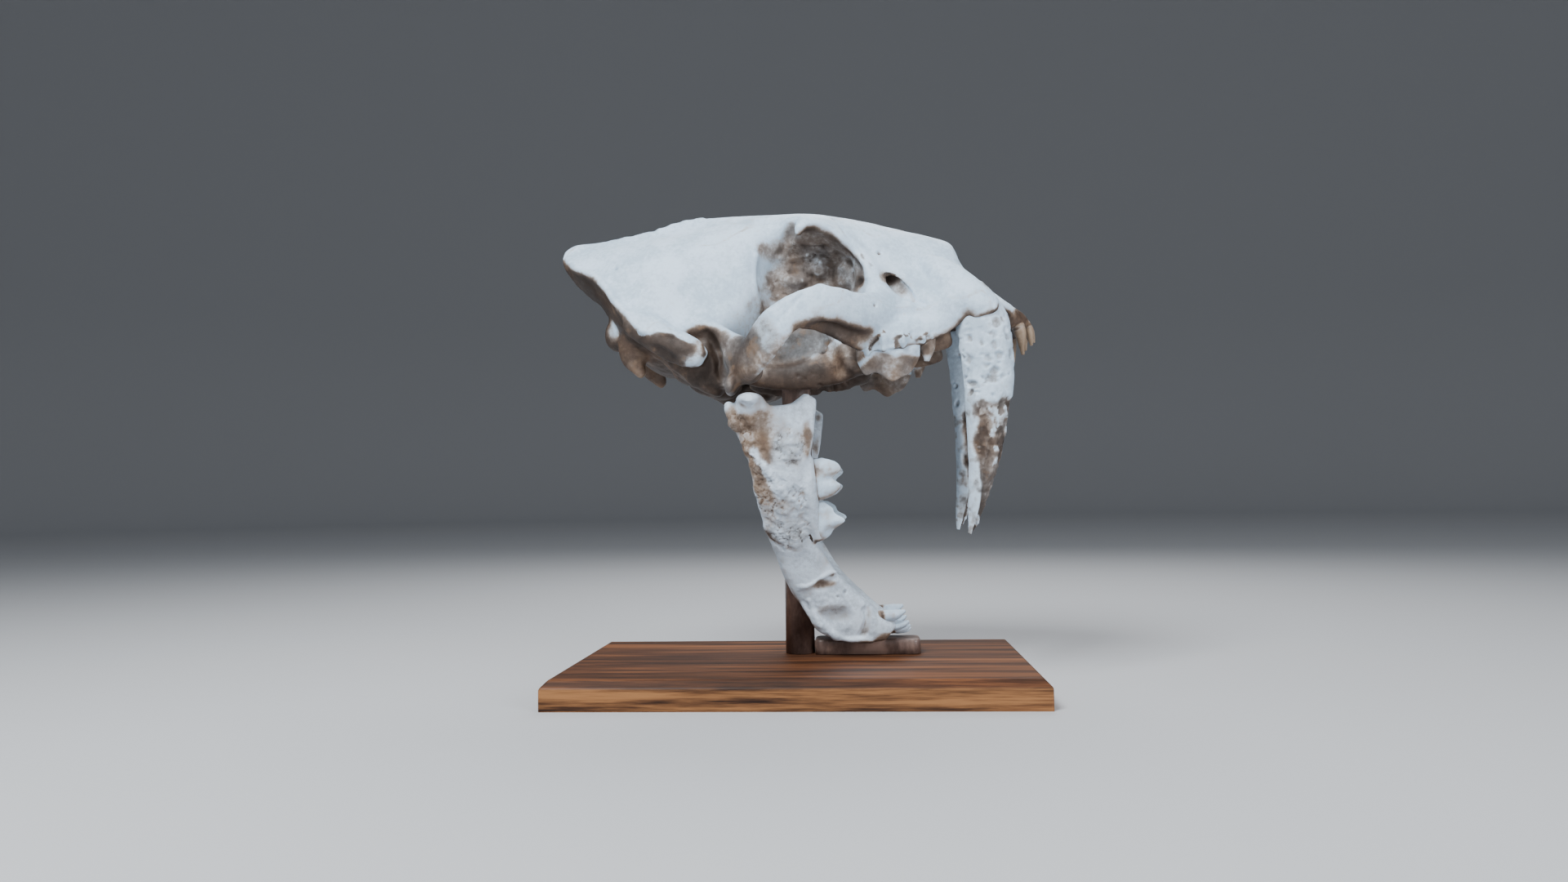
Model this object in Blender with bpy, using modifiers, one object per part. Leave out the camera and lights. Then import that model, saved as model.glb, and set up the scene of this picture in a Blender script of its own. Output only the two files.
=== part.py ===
"""Skull of a sabre-toothed cat, standing with its jaw wide open on a wooden base.

X runs to the nose, Y across the skull and Z up. The shapes are laid out in millimetres
around the skull's mid-plane and turned into metres when each mesh is finished.
"""
import math

import bmesh
import bpy
import numpy as np
from mathutils import Euler, Matrix, Vector

MM = 0.001
MID_PLANE_SHIFT = 5.2

# Wooden base, support post and chin block.
BASE_LENGTH = 298.0
BASE_DEPTH = 172.0
BASE_THICKNESS = 18.0
BASE_CHAMFER = 4.8
BASE_CENTRE = (0.0, -21.5)
POST_RADIUS = 9.8
POST_CENTRE_X = -0.5
POST_TOP = 214.0
BLOCK_X = (9.8, 80.0)
BLOCK_HALF_WIDTH = 11.5
BLOCK_TOP = 28.0
FIT_GAP = 0.3

# Fineness of the fused bone and of its faceted finish.
BONE_VOXEL = 2.0
CRANIUM_KEPT_FACES = 0.033
DENTARY_KEPT_FACES = 0.06

# Cranium cross-sections, each a distance along X and half an outline of (Y, Z) points
# from the top of the mid-plane round the side to the underside.
CRANIUM_SECTIONS = (
    (-161.0, ((0, 296), (4, 295), (9, 291), (10, 288), (6, 285), (0, 284))),
    (-152.0, ((0, 301), (6, 299), (15, 289), (19, 281), (12, 275), (0, 272))),
    (-137.0, ((0, 303), (6, 299), (18, 290), (28, 275), (20, 264), (0, 259))),
    (-122.0, ((0, 306), (6, 300), (26, 288), (41, 262), (32, 246), (0, 238))),
    (-107.0, ((0, 309), (6, 302), (34, 284), (53, 243), (42, 227), (0, 218))),
    (-90.0, ((0, 312.5), (6, 305), (39, 285), (58, 240), (46, 217), (0, 207))),
    (-68.0, ((0, 317), (6, 310), (38, 287), (51, 250), (54, 226), (0, 206))),
    (-45.0, ((0, 318), (9, 312), (36, 291), (45, 256), (50, 224), (0, 208))),
    (-26.0, ((0, 317), (16, 312.5), (34, 296), (41, 262), (31, 228), (0, 212))),
    (-16.0, ((0, 316.5), (20, 312), (34, 298), (29, 266), (23, 234), (0, 217))),
    (-6.0, ((0, 316.5), (25, 311), (38, 300), (30, 272), (21, 240), (0, 223))),
    (8.0, ((0, 316), (32, 309), (46, 299), (30, 278), (20, 246), (0, 226))),
    (22.0, ((0, 315), (30, 307.5), (45, 295), (30, 277), (22, 247), (0, 229))),
    (36.0, ((0, 312), (26, 306), (43, 288), (33, 270), (30, 247), (0, 232))),
    (50.0, ((0, 309), (23, 304), (39, 290), (48, 264), (51, 240), (0, 234))),
    (68.0, ((0, 304.5), (20, 300), (32, 290), (45, 266), (53, 238), (0, 236))),
    (86.0, ((0, 300), (17, 296), (28, 285), (40, 265), (53, 238), (0, 238))),
    (104.0, ((0, 294), (14, 290), (25, 279), (39, 261), (51, 242), (0, 239))),
    (112.0, ((0, 282), (15, 277), (25, 270), (39, 257), (50, 244), (0, 240))),
    (124.0, ((0, 267), (14, 265), (24, 261), (37, 253), (47, 245), (0, 240))),
    (138.0, ((0, 254), (13, 252.5), (23, 250.5), (33, 247), (38, 241), (0, 237))),
    (149.0, ((0, 245), (10, 245), (18, 244), (24, 240), (23, 235), (0, 233))),
    (155.0, ((0, 239), (7, 239), (12, 238), (16, 236), (13, 233), (0, 232))),
)

# Bars and processes of the right side: X, Y, Z, upright radius and sideways radius.
CHEEK_ARCH = (
    (68, -47, 242, 13, 6), (55, -58, 238, 14, 8), (42, -71, 237, 12.5, 6),
    (26, -85, 240.5, 11.5, 4.5), (9, -92.5, 238, 9.5, 4), (-5, -93, 230.5, 10, 4),
    (-16, -89, 219.5, 12.5, 4.5), (-25, -80, 210.5, 13.5, 6), (-32, -66, 209, 14, 9),
    (-38, -50, 214, 13, 13),
)
ORBIT_RIM = (
    (52, -50, 246, 4.5, 6), (54, -48.5, 258, 4.5, 5.5), (50, -45.5, 272, 4.5, 5), (41, -42.5, 284, 4.5, 4.5),
    (28, -42.5, 293, 5, 4), (14, -46, 297.5, 5, 4), (4, -51, 293, 4.5, 4), (-1, -54, 286, 3, 3),
)
CANINE_BULGE = (
    (84, -33, 274, 8, 7), (98, -39, 262, 13, 9), (111, -42, 250, 14, 11.5), (121, -43, 244, 11.5, 12.5),
    (129, -40, 244, 7, 10),
)
MASTOID_LOBE = (
    (-104, -54, 238, 9, 8), (-88, -60, 229, 11, 8), (-72, -63, 218, 10, 8), (-60, -62, 211, 6, 6),
)
PAROCCIPITAL_HOOK = ((-106, -34, 222, 10, 10), (-99, -40, 211, 8, 8), (-94, -43, 202, 4, 4))
PTERYGOID_PLATE = (
    (64, -38, 234, 8, 6), (48, -31, 227, 13, 4.5), (30, -23.5, 220, 19, 3.4), (12, -20, 218, 20, 3),
    (-4, -19, 216, 17, 3), (-20, -20, 213, 12, 4), (-34, -22, 213, 7, 5),
)
CHEEK_TOOTH_RIDGE = (
    (34, -52, 232, 7, 6), (46, -54, 225.5, 10.5, 8), (60, -54.5, 223.5, 11, 8.5), (76, -52, 225.5, 10.5, 8),
    (90, -48, 231, 8.5, 6), (102, -45.5, 237, 8, 6), (116, -43, 244, 5, 5),
)
FRONT_TOOTH_RIDGE = (
    (130, -29, 240, 6, 5), (143, -23, 237, 6, 6), (150.5, -13, 235, 5.5, 6), (153, 0, 234, 5, 6),
    (150.5, 13, 235, 5.5, 6), (143, 23, 237, 6, 6), (130, 29, 240, 6, 5),
)
NUCHAL_CREST = (
    (-156, -3, 292, 5, 5), (-147, -18, 282, 3.5, 4.5), (-136, -28, 274, 3.5, 4), (-122, -41, 262, 3.5, 4),
    (-109, -52, 245, 4, 4), (-101, -58, 235, 4, 4), (-90, -60, 232, 4, 4), (-76, -61, 231, 4, 4),
    (-60, -61, 228, 4, 5), (-45, -62, 221, 4.5, 6), (-32, -68, 217, 6, 6),
)

# Rounded lumps of the right side: centre, radii and turn about Y in degrees.
CRANIUM_LUMPS = (
    ((-117, -17, 235), (12, 11, 13), 30),
    ((-62, -31, 207), (22, 13, 12), 20),
    ((-27, -66, 203), (10, 18, 9), 0),
    ((-37, -66, 194), (4.5, 15, 8), 15),
    ((20, -87, 247), (7, 4, 6), 0),
)

# Hollows: centre, radii and turn about Y; the paired ones are given for the right side.
PAIRED_HOLLOWS = (
    ((-25, -66, 187), (9.5, 20, 7.5), 0),
    ((-46, -66, 207), (5.5, 16, 10), 20),
    ((-82, -70, 213), (14, 7, 6), 28),
)
MIDDLE_HOLLOWS = (
    ((-128, 0, 244), (22, 11, 10), 35),
    ((-2, 0, 209), (34, 13.5, 9), 0),
)
CHEEK_FORAMEN = (
    (84, -62, 247, 5, 5), (75, -55, 254, 6.5, 7), (66, -49, 260, 6, 7), (55, -43, 265, 5, 5), (44, -38, 268, 5, 4),
)
NASAL_CAVITY = (
    (176, 0, 262, 13, 9), (150, 0, 264, 14, 13), (128, 0, 268, 16, 18), (104, 0, 270, 17, 18),
    (84, 0, 270, 14, 13), (74, 0, 269, 8, 8),
)

# Dentary in its open pose, right side: alveolar edge (X, Z), lower edge (X, Z), Y, half thickness.
DENTARY_RIBS = (
    (14, 181, -39, 180, -64, 3.6), (15, 172, -37, 171, -64.5, 4.6), (13, 158, -33, 157, -62.5, 5.8),
    (10, 144, -28, 143, -59, 7.2), (9, 130, -25, 129, -54, 8.4), (9, 114, -22.5, 114, -47.5, 8.8),
    (11, 98, -18.5, 99, -40.5, 8.4), (18, 86, -14, 86, -34.5, 7.8), (25, 75, -9, 71, -28.5, 8.2),
    (33, 66, -1.5, 56, -22.5, 9.5), (43, 57, 12, 43, -17.5, 11.5), (53, 48, 22, 31, -13.5, 12.5),
    (61, 43.5, 39, 26.5, -11.5, 11.5), (66, 39, 56, 28, -10.5, 10),
)
CONDYLE_NECK = ((-22, -66, 170, 9, 6), (-25, -66, 178, 7, 8), (-25, -66, 183, 6, 12))
CONDYLE = ((-25, -66, 183.5), (7, 17.5, 6.2), 0)
CORONOID = ((2, -64, 166, 12, 4), (7, -63, 177, 9, 3.4), (12, -62, 186, 5, 2.6))
ANGLE_HOOK = ((-30, -65, 168, 7, 4.5), (-37, -65, 177, 5, 4), (-41, -64, 183, 2.5, 3))
LOWER_TOOTH_RIDGE = ((8, -57, 148, 5, 6), (10, -53, 130, 5, 7), (11, -47, 112, 5, 7), (15, -40, 96, 4, 6))
CHIN_FLANGE = ((5, -25, 55, 3, 3), (14, -24, 42, 3.5, 4), (25, -21.5, 33, 3.5, 4), (43, -19, 30, 3.5, 4), (58, -17, 32, 3.5, 3.5))
MASSETER_HOLLOW = ((-13, -77, 162), (14, 9, 21), 8)

# Upper sabre: X, Y, Z, half thickness across and half length fore and aft, from root to tip.
SABRE = (
    (115.0, -38, 257, 6.5, 8.0), (118.5, -39.5, 247, 8.6, 12.5), (121.0, -41, 236, 10.0, 16.6),
    (123.2, -41.5, 222, 10.2, 17.2), (124.6, -42, 204, 9.8, 16.4), (124.4, -42, 186, 9.0, 15.2),
    (123.4, -42, 166, 8.0, 13.2), (121.4, -42, 146, 6.7, 10.8), (118.6, -41.5, 128, 5.2, 8.2),
    (115.0, -41, 112, 3.6, 5.2), (111.6, -40.5, 98, 1.4, 1.8),
)
# Peg teeth of the right side, root to tip: X, Y, Z, radius along the first axis and across.
UPPER_INCISORS = (
    ("upper_incisor_1", ((149.5, -4.6, 241, 2.4, 2.2), (153.5, -4.8, 237, 3.2, 3.0), (157.5, -4.8, 232, 3.2, 2.8),
                         (160, -4.6, 224, 1.2, 1.0))),
    ("upper_incisor_2", ((148, -12, 241, 2.8, 2.6), (152, -12.6, 237, 3.9, 3.3), (155.5, -13, 231, 3.8, 3.2),
                         (157, -13, 221, 1.2, 1.0))),
    ("upper_incisor_3", ((141.5, -19.5, 242, 3.2, 3.2), (145.2, -21, 236.5, 4.7, 4.1), (148.5, -21.6, 229, 4.6, 4.0),
                         (150, -21.6, 214, 1.2, 1.0))),
)
LOWER_INCISORS = (
    ("lower_incisor_1", ((54, -3.3, 33, 2.0, 1.8), (63, -3.3, 33, 2.6, 2.3), (70, -3.3, 33.4, 2.2, 2.0),
                         (74, -3.3, 34.5, 0.8, 0.8))),
    ("lower_incisor_2", ((53, -9, 34, 2.2, 2.0), (62, -9.1, 34.4, 2.8, 2.5), (69.5, -9.1, 35.2, 2.4, 2.2),
                         (73.5, -9.1, 37, 0.8, 0.8))),
    ("lower_incisor_3", ((51, -15, 36, 2.4, 2.2), (60, -15.2, 36.6, 3.0, 2.8), (67.5, -15.2, 38, 2.8, 2.4),
                         (72, -15.2, 40.5, 0.8, 0.8))),
)
LOWER_CANINE = ((44, -17, 44.5, 3.2, 3.2), (55, -17.5, 44, 4.2, 4.0), (63.5, -18, 45, 3.8, 3.4), (70, -18, 47.5, 1.0, 1.0))
UPPER_P3 = ((86, -48, 236, 3.2, 4.0), (86, -48, 226, 4.0, 5.2), (86, -48.4, 217, 3.8, 5.0), (85.4, -48.4, 208, 1.2, 1.6))

# Blade teeth: a point on the gum line, along and up directions, depth of the root and
# (distance along, crown height, half thickness) from end to end.
UPPER_CARNASSIAL = (
    (42, -56, 218), (1, 0.1, 0.02), (0, 0, -1), 7.0,
    ((-1, 10, 2.4), (4, 19, 4.0), (11, 16, 4.4), (15, 18, 4.8), (21, 24, 5.0), (27, 20, 5.2), (32, 19, 5.0),
     (36, 14, 4.2), (39, 8, 2.4)),
)
LOWER_CARNASSIAL = (
    (12, -53.5, 146), (-0.03, 0.16, -1), (1, 0, 0.12), 7.0,
    ((-1, 6, 2.2), (3, 15, 3.8), (8, 18, 4.4), (13, 13, 4.6), (18, 18, 4.4), (23, 14, 3.6), (26, 6, 2.2)),
)
LOWER_PREMOLAR = (
    (12.5, -47.5, 118.5), (0.02, 0.2, -1), (1, 0, 0.06), 7.0,
    ((-1, 6, 2.0), (3, 11, 3.4), (7, 13, 4.0), (12, 19, 4.4), (17, 12, 4.0), (21, 9, 3.0), (24, 4, 2.0)),
)

FINISHES = {
    "bone": ((0.80, 0.83, 0.86, 1.0), 0.55),
    "upper_tooth": ((0.78, 0.80, 0.82, 1.0), 0.40),
    "lower_tooth": ((0.76, 0.78, 0.80, 1.0), 0.42),
    "incisor": ((0.62, 0.50, 0.36, 1.0), 0.45),
    "base_wood": ((0.30, 0.13, 0.05, 1.0), 0.30),
    "dark_wood": ((0.10, 0.045, 0.025, 1.0), 0.25),
}


def smooth_row(points, count):
    """Points on a smooth open curve through the given ones."""
    given = np.array(points, dtype=float)
    first, last = 2 * given[0] - given[1], 2 * given[-1] - given[-2]
    row = np.concatenate([first[None], given, last[None]])
    out = []
    for place in np.linspace(0, len(given) - 1, count):
        k = min(int(place), len(given) - 2)
        u = place - k
        a, b, c, d = row[k:k + 4]
        out.append(0.5 * (2 * b + (c - a) * u + (2 * a - 5 * b + 4 * c - d) * u ** 2
                          + (3 * b - a - 3 * c + d) * u ** 3))
    return np.array(out)


def smooth_loop(points, steps):
    """Points on a smooth closed curve through the given ones, a few to each gap."""
    given = np.array(points, dtype=float)
    total = len(given)
    out = []
    for k in range(total):
        a, b, c, d = (given[(k + j) % total] for j in (-1, 0, 1, 2))
        for u in np.arange(steps) / steps:
            out.append(0.5 * (2 * b + (c - a) * u + (2 * a - 5 * b + 4 * c - d) * u ** 2
                              + (3 * b - a - 3 * c + d) * u ** 3))
    return np.array(out)


def loft(bm, rings):
    """Skins a row of rings and closes both ends."""
    rows = [[bm.verts.new(point) for point in ring] for ring in rings]
    count = len(rows[0])
    for near, far in zip(rows, rows[1:]):
        for i in range(count):
            j = (i + 1) % count
            bm.faces.new((near[i], near[j], far[j], far[i]))
    bm.faces.new(list(reversed(rows[0])))
    bm.faces.new(rows[-1])


def bar(bm, stations, count=24, sides=16, square=2.0, upward=(0, 0, 1), grow=0.0):
    """Rod along the stations; each gives X, Y, Z and the two radii of its oval section."""
    path = smooth_row(stations, count)
    centres = path[:, :3]
    slopes = np.gradient(centres, axis=0)
    slopes /= np.linalg.norm(slopes, axis=1)[:, None]
    centres[0] -= slopes[0] * grow
    centres[-1] += slopes[-1] * grow
    rings = []
    for centre, slope, radii in zip(centres, slopes, path[:, 3:] + grow):
        side = np.cross(slope, upward)
        side /= np.linalg.norm(side)
        rise = np.cross(side, slope)
        ring = []
        for angle in np.arange(sides) * 2 * math.pi / sides:
            c, s = math.cos(angle), math.sin(angle)
            up = math.copysign(abs(c) ** (2 / square), c) * radii[0]
            out = math.copysign(abs(s) ** (2 / square), s) * radii[1]
            ring.append(centre + rise * up + side * out)
        rings.append(ring)
    loft(bm, rings)


def lump(bm, centre, radii, turn):
    """Ellipsoid, turned about Y."""
    place = Matrix.LocRotScale(Vector(centre), Euler((0, math.radians(turn), 0)), Vector(radii))
    bmesh.ops.create_uvsphere(bm, u_segments=24, v_segments=14, radius=1.0, matrix=place)


def blade(bm, gum_point, along, up, root, stations, side, grow=0.0):
    """Cutting tooth: a row of wedge sections between a root and a scalloped edge."""
    mirror = np.array((1, side, 1), dtype=float)
    start = np.array(gum_point) * mirror
    along = np.array(along, dtype=float) * mirror
    along /= np.linalg.norm(along)
    up = np.array(up, dtype=float) * mirror
    up /= np.linalg.norm(up)
    across = np.cross(along, up)
    rings = []
    last = len(stations) - 1
    for i, (distance, height, half) in enumerate(stations):
        reach = distance + (-grow if i == 0 else grow if i == last else 0.0)
        wide = half + grow
        section = ((-root - grow, 0.7 * wide), (0, wide), (0.55 * height, 0.8 * wide),
                   (height + grow, 0.16 * wide + grow))
        outline = list(section) + [(h, -w) for h, w in reversed(section)]
        rings.append([start + along * reach + up * h + across * w for h, w in outline])
    loft(bm, rings)


def mirrored(stations, side):
    """The same stations on the right side, or on the left one where side is -1."""
    return [(row[0], row[1] * side) + tuple(row[2:]) for row in stations]


def new_mesh_object(name, bm, home):
    """Finishes a mesh that was drawn in millimetres and puts it in a collection."""
    bmesh.ops.recalc_face_normals(bm, faces=bm.faces)
    bmesh.ops.transform(bm, matrix=Matrix.Diagonal((MM, MM, MM, 1)) @ Matrix.Translation((0, MID_PLANE_SHIFT, 0)),
                        verts=bm.verts)
    mesh = bpy.data.meshes.new(name)
    bm.to_mesh(mesh)
    bm.free()
    part = bpy.data.objects.new(name, mesh)
    home.objects.link(part)
    return part


def add_cutter(name, bm):
    """Keeps a cutting shape out of the finished part."""
    cutter = new_mesh_object(name, bm, cutter_home)
    cutter.hide_render = True
    cutter.display_type = "WIRE"
    return cutter


def fuse(part, passes):
    """Joins the overlapping shapes of a bone into one skin."""
    remesh = part.modifiers.new("fused_skin", "REMESH")
    remesh.mode = "VOXEL"
    remesh.voxel_size = BONE_VOXEL * MM
    soften = part.modifiers.new("softened", "SMOOTH")
    soften.factor = 0.5
    soften.iterations = passes


def cut(part, cutter):
    """Takes a cutting shape out of a part."""
    boolean = part.modifiers.new("cut_" + cutter.name, "BOOLEAN")
    boolean.operation = "DIFFERENCE"
    boolean.solver = "EXACT"
    boolean.object = cutter


def thin_out(part, kept):
    """Leaves the given share of the faces."""
    decimate = part.modifiers.new("facets", "DECIMATE")
    decimate.ratio = kept


def give_finish(part, finish):
    """Puts the named finish on the whole part."""
    part.data.materials.append(finishes[finish])


def make_finish(name, colour, roughness):
    """One plain finish."""
    finish = bpy.data.materials.new(name)
    finish.use_nodes = True
    shader = finish.node_tree.nodes["Principled BSDF"]
    shader.inputs["Base Color"].default_value = colour
    shader.inputs["Roughness"].default_value = roughness
    shader.inputs["Metallic"].default_value = 0.0
    return finish


def cranium_shape(bm):
    """All the overlapping shapes of the cranium."""
    outlines = []
    for x, half in CRANIUM_SECTIONS:
        loop = [(y, z) for y, z in half] + [(-y, z) for y, z in reversed(half[1:-1])]
        outlines.append([(x, y, z) for y, z in smooth_loop(loop, 4)])
    loft(bm, smooth_row(outlines, 4 * len(outlines)))
    bar(bm, FRONT_TOOTH_RIDGE)
    for side in (1, -1):
        for stations in (CHEEK_ARCH, CANINE_BULGE, MASTOID_LOBE, PAROCCIPITAL_HOOK,
                         PTERYGOID_PLATE, CHEEK_TOOTH_RIDGE, NUCHAL_CREST):
            bar(bm, mirrored(stations, side))
        bar(bm, mirrored(ORBIT_RIM, side), upward=(0, 1, 0))
        for centre, radii, turn in CRANIUM_LUMPS:
            lump(bm, mirrored([centre], side)[0], radii, turn)


def hollow_shape(bm):
    """All the hollows of the cranium."""
    bar(bm, NASAL_CAVITY)
    for centre, radii, turn in MIDDLE_HOLLOWS:
        lump(bm, centre, radii, turn)
    for side in (1, -1):
        bar(bm, mirrored(CHEEK_FORAMEN, side))
        for centre, radii, turn in PAIRED_HOLLOWS:
            lump(bm, mirrored([centre], side)[0], radii, turn)


def dentary_shape(bm, side):
    """All the overlapping shapes of one half of the lower jaw."""
    rings = []
    for rib in smooth_row(DENTARY_RIBS, 4 * len(DENTARY_RIBS)):
        upper = np.array((rib[0], rib[4], rib[1]))
        lower = np.array((rib[2], rib[4], rib[3]))
        middle, reach = (upper + lower) / 2, (upper - lower) / 2
        ring = []
        for angle in np.arange(24) * 2 * math.pi / 24:
            c, s = math.cos(angle), math.sin(angle)
            along = math.copysign(abs(c) ** 0.8, c)
            across = math.copysign(abs(s) ** 0.8, s) * rib[5]
            point = middle + reach * along + np.array((0, across, 0))
            ring.append(point * (1, side, 1))
        rings.append(ring)
    loft(bm, rings)
    for stations in (CONDYLE_NECK, CORONOID, ANGLE_HOOK, LOWER_TOOTH_RIDGE):
        bar(bm, mirrored(stations, side), upward=(1, 0, 0))
    bar(bm, mirrored(CHIN_FLANGE, side), upward=(0, 1, 0))
    centre, radii, turn = CONDYLE
    lump(bm, mirrored([centre], side)[0], radii, turn)


def peg_tooth(bm, stations, side, grow=0.0):
    """Tooth with an oval section from root to tip."""
    bar(bm, mirrored(stations, side), count=5, sides=7, upward=(0, 1, 0), grow=grow)


def sabre_tooth(bm, side, grow=0.0):
    """The long flattened canine."""
    bar(bm, mirrored(SABRE, side), count=12, sides=12, upward=(0, 1, 0), grow=grow)


def build_teeth(side, suffix):
    """Teeth of one side; gives the sockets that the cranium and the dentary need."""
    upper_sockets, lower_sockets = bmesh.new(), bmesh.new()

    def place(name, finish, sockets, draw, *values):
        crown = bmesh.new()
        draw(crown, *values, side)
        give_finish(new_mesh_object(name + suffix, crown, part_home), finish)
        draw(sockets, *values, side, FIT_GAP)

    place("upper_canine", "upper_tooth", upper_sockets, sabre_tooth)
    place("upper_premolar", "upper_tooth", upper_sockets, peg_tooth, UPPER_P3)
    place("upper_carnassial", "upper_tooth", upper_sockets, blade, *UPPER_CARNASSIAL)
    for name, stations in UPPER_INCISORS:
        place(name, "incisor", upper_sockets, peg_tooth, stations)
    for name, stations in LOWER_INCISORS:
        place(name, "lower_tooth", lower_sockets, peg_tooth, stations)
    place("lower_canine", "lower_tooth", lower_sockets, peg_tooth, LOWER_CANINE)
    place("lower_premolar", "lower_tooth", lower_sockets, blade, *LOWER_PREMOLAR)
    place("lower_carnassial", "lower_tooth", lower_sockets, blade, *LOWER_CARNASSIAL)
    return upper_sockets, lower_sockets


def box(bm, low, high):
    """Upright box between two corners."""
    size = [b - a for a, b in zip(low, high)]
    middle = [(a + b) / 2 for a, b in zip(low, high)]
    bmesh.ops.create_cube(bm, size=1.0, matrix=Matrix.LocRotScale(Vector(middle), None, Vector(size)))


def bevel_edges(bm, edges, width, segments):
    """Rounds or chamfers some edges."""
    bmesh.ops.bevel(bm, geom=edges, offset=width, segments=segments, profile=0.5,
                    affect="EDGES", material=-1)


def build_base():
    """Board with a chamfer round its top."""
    bm = bmesh.new()
    x, y = BASE_CENTRE
    box(bm, (x - BASE_LENGTH / 2, y - BASE_DEPTH / 2, 0), (x + BASE_LENGTH / 2, y + BASE_DEPTH / 2, BASE_THICKNESS))
    top = [e for e in bm.edges if all(v.co.z > BASE_THICKNESS / 2 for v in e.verts)]
    bevel_edges(bm, top, BASE_CHAMFER, 1)
    give_finish(new_mesh_object("base_board", bm, part_home), "base_wood")


def post_shape(bm, grow):
    """Upright round rod."""
    low, high = BASE_THICKNESS + FIT_GAP, POST_TOP
    bmesh.ops.create_cone(bm, cap_ends=True, segments=24, radius1=POST_RADIUS + grow, radius2=POST_RADIUS + grow,
                          depth=high - low + 2 * grow,
                          matrix=Matrix.Translation((POST_CENTRE_X, 0, (low + high) / 2)))


def block_shape(bm, grow):
    """Low pad with rounded corners."""
    box(bm, (BLOCK_X[0] - grow, -BLOCK_HALF_WIDTH - grow, BASE_THICKNESS + FIT_GAP),
        (BLOCK_X[1] + grow, BLOCK_HALF_WIDTH + grow, BLOCK_TOP + grow))
    upright = [e for e in bm.edges if abs(e.verts[0].co.z - e.verts[1].co.z) > 1.0]
    bevel_edges(bm, upright, 5.0, 3)


for leftover in list(bpy.data.objects):
    bpy.data.objects.remove(leftover, do_unlink=True)

part_home = bpy.data.collections.new("sabre_tooth_skull")
cutter_home = bpy.data.collections.new("cutters")
bpy.context.scene.collection.children.link(part_home)
bpy.context.scene.collection.children.link(cutter_home)
finishes = {name: make_finish(name, colour, roughness) for name, (colour, roughness) in FINISHES.items()}

build_base()
post = bmesh.new()
post_shape(post, 0.0)
give_finish(new_mesh_object("support_post", post, part_home), "dark_wood")
block = bmesh.new()
block_shape(block, 0.0)
give_finish(new_mesh_object("chin_block", block, part_home), "dark_wood")

stand_room = bmesh.new()
post_shape(stand_room, 2 * FIT_GAP)
post_cutter = add_cutter("post_room", stand_room)
block_room = bmesh.new()
block_shape(block_room, FIT_GAP)
block_cutter = add_cutter("block_room", block_room)

skull = bmesh.new()
cranium_shape(skull)
cranium = new_mesh_object("cranium", skull, part_home)
give_finish(cranium, "bone")
hollows = bmesh.new()
hollow_shape(hollows)
fuse(cranium, 3)
cut(cranium, add_cutter("cranium_hollows", hollows))
fuse(cranium, 3)
thin_out(cranium, CRANIUM_KEPT_FACES)
cut(cranium, post_cutter)

for side, suffix in ((1, "_right"), (-1, "_left")):
    upper_sockets, lower_sockets = build_teeth(side, suffix)
    cut(cranium, add_cutter("upper_sockets" + suffix, upper_sockets))
    jaw = bmesh.new()
    dentary_shape(jaw, side)
    dentary = new_mesh_object("dentary" + suffix, jaw, part_home)
    give_finish(dentary, "bone")
    fuse(dentary, 2)
    hollow = bmesh.new()
    centre, radii, turn = MASSETER_HOLLOW
    lump(hollow, mirrored([centre], side)[0], radii, turn)
    cut(dentary, add_cutter("masseter_hollow" + suffix, hollow))
    fuse(dentary, 2)
    thin_out(dentary, DENTARY_KEPT_FACES)
    cut(dentary, post_cutter)
    cut(dentary, block_cutter)
    seam = bmesh.new()
    far = FIT_GAP / 2
    box(seam, (-60, min(-side * far, side * 40), 0), (120, max(-side * far, side * 40), 230))
    cut(dentary, add_cutter("chin_seam" + suffix, seam))
    cut(dentary, add_cutter("lower_sockets" + suffix, lower_sockets))
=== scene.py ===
# %% [markdown]
# # Skull of a sabre-toothed cat on its stand
# The CAD model already holds every piece at its real size. This lesson makes the looks
# around it: finer bone, pitted teeth, stained hollows, varnished wood and a small studio.
# The frame is loaded first, because the bones and sabres are held inside the boxes of the CAD nodes it
# gives.

# %% Load the frame
import math
from itertools import product

import bmesh
import bpy
import numpy as np
from mathutils import Matrix, Vector
from mathutils.bvhtree import BVHTree


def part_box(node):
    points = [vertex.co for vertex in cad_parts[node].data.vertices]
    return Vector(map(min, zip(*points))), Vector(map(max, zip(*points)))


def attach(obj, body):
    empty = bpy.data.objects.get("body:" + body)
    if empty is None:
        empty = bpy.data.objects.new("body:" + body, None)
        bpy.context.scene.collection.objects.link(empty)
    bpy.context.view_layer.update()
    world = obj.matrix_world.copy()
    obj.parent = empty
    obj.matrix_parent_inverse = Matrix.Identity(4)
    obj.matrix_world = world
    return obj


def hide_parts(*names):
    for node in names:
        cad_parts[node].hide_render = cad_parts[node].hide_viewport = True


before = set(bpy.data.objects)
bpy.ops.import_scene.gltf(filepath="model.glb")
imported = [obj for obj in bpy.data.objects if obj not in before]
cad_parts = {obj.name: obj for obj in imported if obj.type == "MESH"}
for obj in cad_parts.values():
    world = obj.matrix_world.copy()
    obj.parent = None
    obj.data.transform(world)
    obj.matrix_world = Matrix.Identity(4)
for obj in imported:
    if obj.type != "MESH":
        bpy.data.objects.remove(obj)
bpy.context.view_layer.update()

print("CAD nodes:", len(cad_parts))

# %% [markdown]
# ## Units and the mid-plane
# A skull is easiest to measure in millimetres from the plane that halves it. Blender
# wants metres in the frame of the CAD model, whose Y is shifted a little. One shift and
# one scale take each shape there, so all the numbers below stay readable.

# %% Units
MM = 0.001
MID_PLANE_SHIFT = 5.2
SIDES = ((1, "_right"), (-1, "_left"))
TO_FRAME = Matrix.Diagonal((MM, MM, MM, 1)) @ Matrix.Translation((0, MID_PLANE_SHIFT, 0))

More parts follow.
